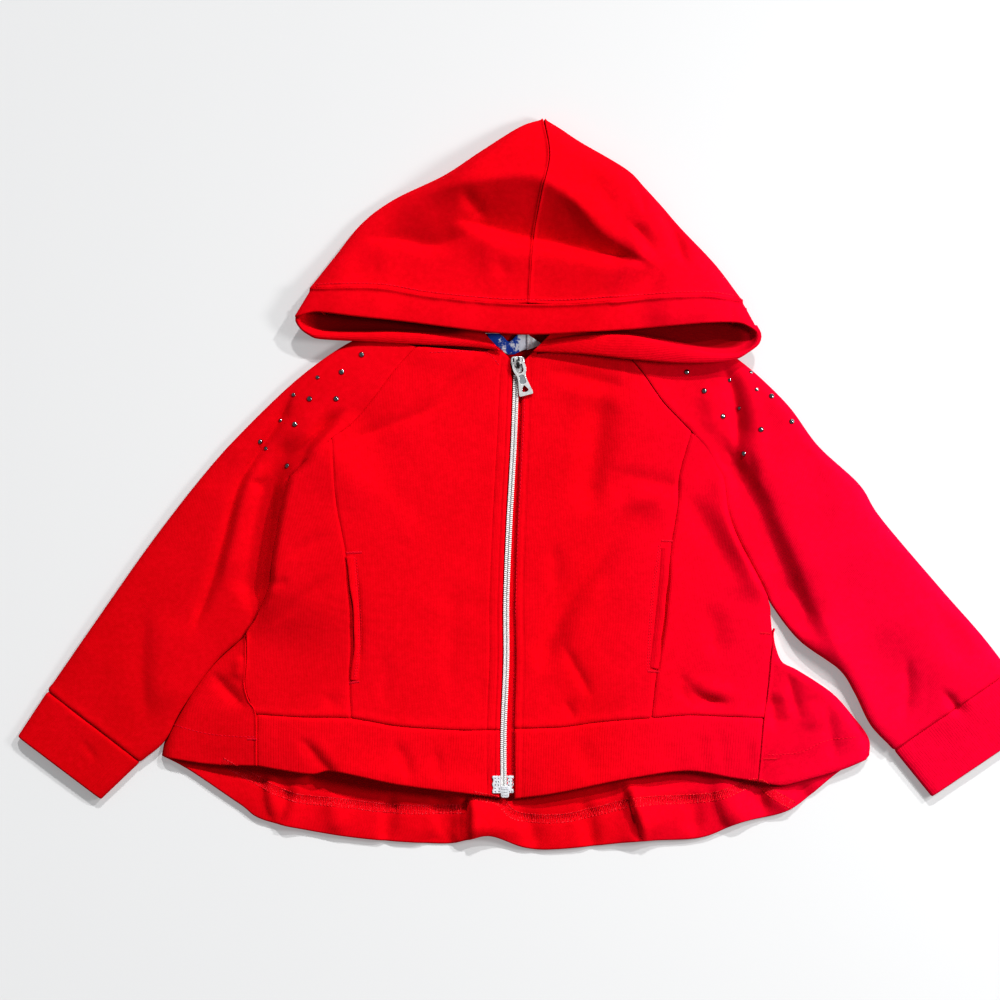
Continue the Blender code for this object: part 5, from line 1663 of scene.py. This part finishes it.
stitched("stitch_hood_band", [shifted(BAND_SEAM, 3.4, 0.01, 0.99)], stitch, 2.9)
stitched("stitch_neck", NECK_ROWS, stitch, 2.9)
stitched("stitch_pockets", POCKET_ROWS, short_stitch, 2.2)
stitched("stitch_flap_hems", FLAP_ROWS, stitch, 2.9)
stitched("bar_tacks", TACKS, tack_bar, 0.62)

# %% The covered hem
COVER = 6.0  # between the two needle rows
LOOP = 1.3  # from one turn of the looper thread to the next


def zigzag(run):
    """A line that crosses between the two needle rows, with every turn rounded."""
    turns = int(lengths_of(smooth(run))[-1] / LOOP)
    middle = along(run, turns * 6 + 1)
    sway = np.clip(1.35 * np.sin(np.arange(turns * 6 + 1) * math.pi / 6), -1, 1)
    return middle + sideways_of(np.gradient(middle, axis=0)) * sway[:, None] * (COVER / 2 + 0.5)


needle_rows = [shifted(run, sign * COVER / 2) for run in HEM_STITCHES for sign in (-1, 1)]
stitched("stitch_hem_rows", needle_rows, stitch, 2.6, pale_thread, rise=0.06, wobble=0.15)
stitched("stitch_hem_loops", [zigzag(run) for run in HEM_STITCHES],
         bar("loop bar", 1.35, 0.34, 0.3), 1.1, pale_thread, rise=0.1, wobble=0.5)
print("stitch pieces:", [piece.name for piece in stitches])

# %% [markdown]
# ## The table, the light and the camera

# %% Floor, lights and camera
FLOOR = -0.0004  # just under the cloth, in metres
CAMERA_HEIGHT, VIEW_WIDTH = 2.4, 0.75  # metres
floor_mesh = bpy.data.meshes.new("table_top")
corners = [(x, y, FLOOR) for x, y in ((-4, -4), (4, -4), (4, 4), (-4, 4))]
floor_mesh.from_pydata(corners, [], [(0, 1, 2, 3)])
table_white = Finish("table_white", (0.42, 0.42, 0.42), 0.9, Emission_Color=(0.99, 0.995, 1, 1),
                     Emission_Strength=0.21)
placed("table_top", floor_mesh, table_white.material)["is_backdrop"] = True


def aimed(name, kind, power, towards, place=(0, 0, 0), **settings):
    """A lamp whose light comes from the direction towards, seen from the middle of the table."""
    lamp = bpy.data.lights.new(name, kind)
    lamp.energy = power
    for setting, value in settings.items():
        setattr(lamp, setting, value)
    light = bpy.data.objects.new(name, lamp)
    light.rotation_euler = Vector(towards).to_track_quat("Z", "Y").to_euler()
    light.location = place
    bpy.context.scene.collection.objects.link(light)


for name, azimuth, elevation, power in (("window light", 78, 37, 1.83),
                                        ("second window light", 43, 33, 1.30)):
    a, e = math.radians(azimuth), math.radians(elevation)
    aimed(name, "SUN", power, (math.cos(a) * math.cos(e), math.sin(a) * math.cos(e), math.sin(e)),
          angle=math.radians(2.5))
BESIDE = (0.95, 0.12, 0.75)
aimed("side light", "AREA", 6.4, BESIDE, BESIDE, shape="DISK", size=0.3)
world = bpy.data.worlds.new("room")
bpy.context.scene.world = world
world.use_nodes = True
world.node_tree.nodes["Background"].inputs["Color"].default_value = (0.95, 0.97, 1.0, 1)
world.node_tree.nodes["Background"].inputs["Strength"].default_value = 0.22

camera_data = bpy.data.cameras.new("camera")
camera_data.sensor_width, camera_data.lens = 36, 36 * CAMERA_HEIGHT / VIEW_WIDTH
camera = bpy.data.objects.new("camera", camera_data)
camera.location = (-0.01875, -0.011625, CAMERA_HEIGHT)
bpy.context.scene.collection.objects.link(camera)
bpy.context.scene.camera = camera
bpy.context.scene.view_settings.view_transform = "Standard"
bpy.context.scene.view_settings.look = "High Contrast"

# %% Bodies, and the solids that the pieces stand for
SLOTS = {"cloth_hem_band_left": "red_rib", "cloth_hem_band_right": "red_rib",
         "cloth_cuff_left": "red_rib", "cloth_cuff_right": "red_rib",
         "cloth_zip_tape_left": "zip_tape", "cloth_zip_tape_right": "zip_tape",
         "print_neck_label": "label_print", "print_size_tab": "tab_cloth",
         "film_left": "zip_film", "film_right": "zip_film"}
STANDS_FOR = {"print_neck_label": "neck_label", "print_size_tab": "size_tab",
              "film_left": "zip_film_left", "film_right": "zip_film_right"}
pieces = [(piece, "garment", STANDS_FOR.get(piece.name, piece.name.removeprefix("cloth_")),
           SLOTS.get(piece.name, "red_cloth")) for piece in garment]
pieces += [(chain, "garment", "zip_chain", "zip_metal"),
           (slider, "garment", "zip_slider", "zip_metal"),
           (zip_box, "garment", "zip_box", "zip_metal"), (tab, "pull_tab", "pull_tab", "zip_metal")]
pieces += [(piece, "garment", None, "red_cloth") for piece in stitches]
pieces += [(stud, "garment", stud.name.removeprefix("metal_"), "stud_metal") for stud in studs]
for piece, body, node, slot in pieces:
    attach(piece, body)
    if node:
        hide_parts(node)

# %% [markdown]
# ## The model's size
#
# Cloth has two sizes: the one it has now, and the one it was cut to. Only the first is found
# here: the corners of the box round the fixed solids and of the box round the built model, in
# millimetres.

# %% The model's size
visual_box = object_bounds()
for name, box in (("cad", cad_box), ("visual", visual_box)):
    print(name, [round(1000 * value, 1) for corner in box for value in corner])
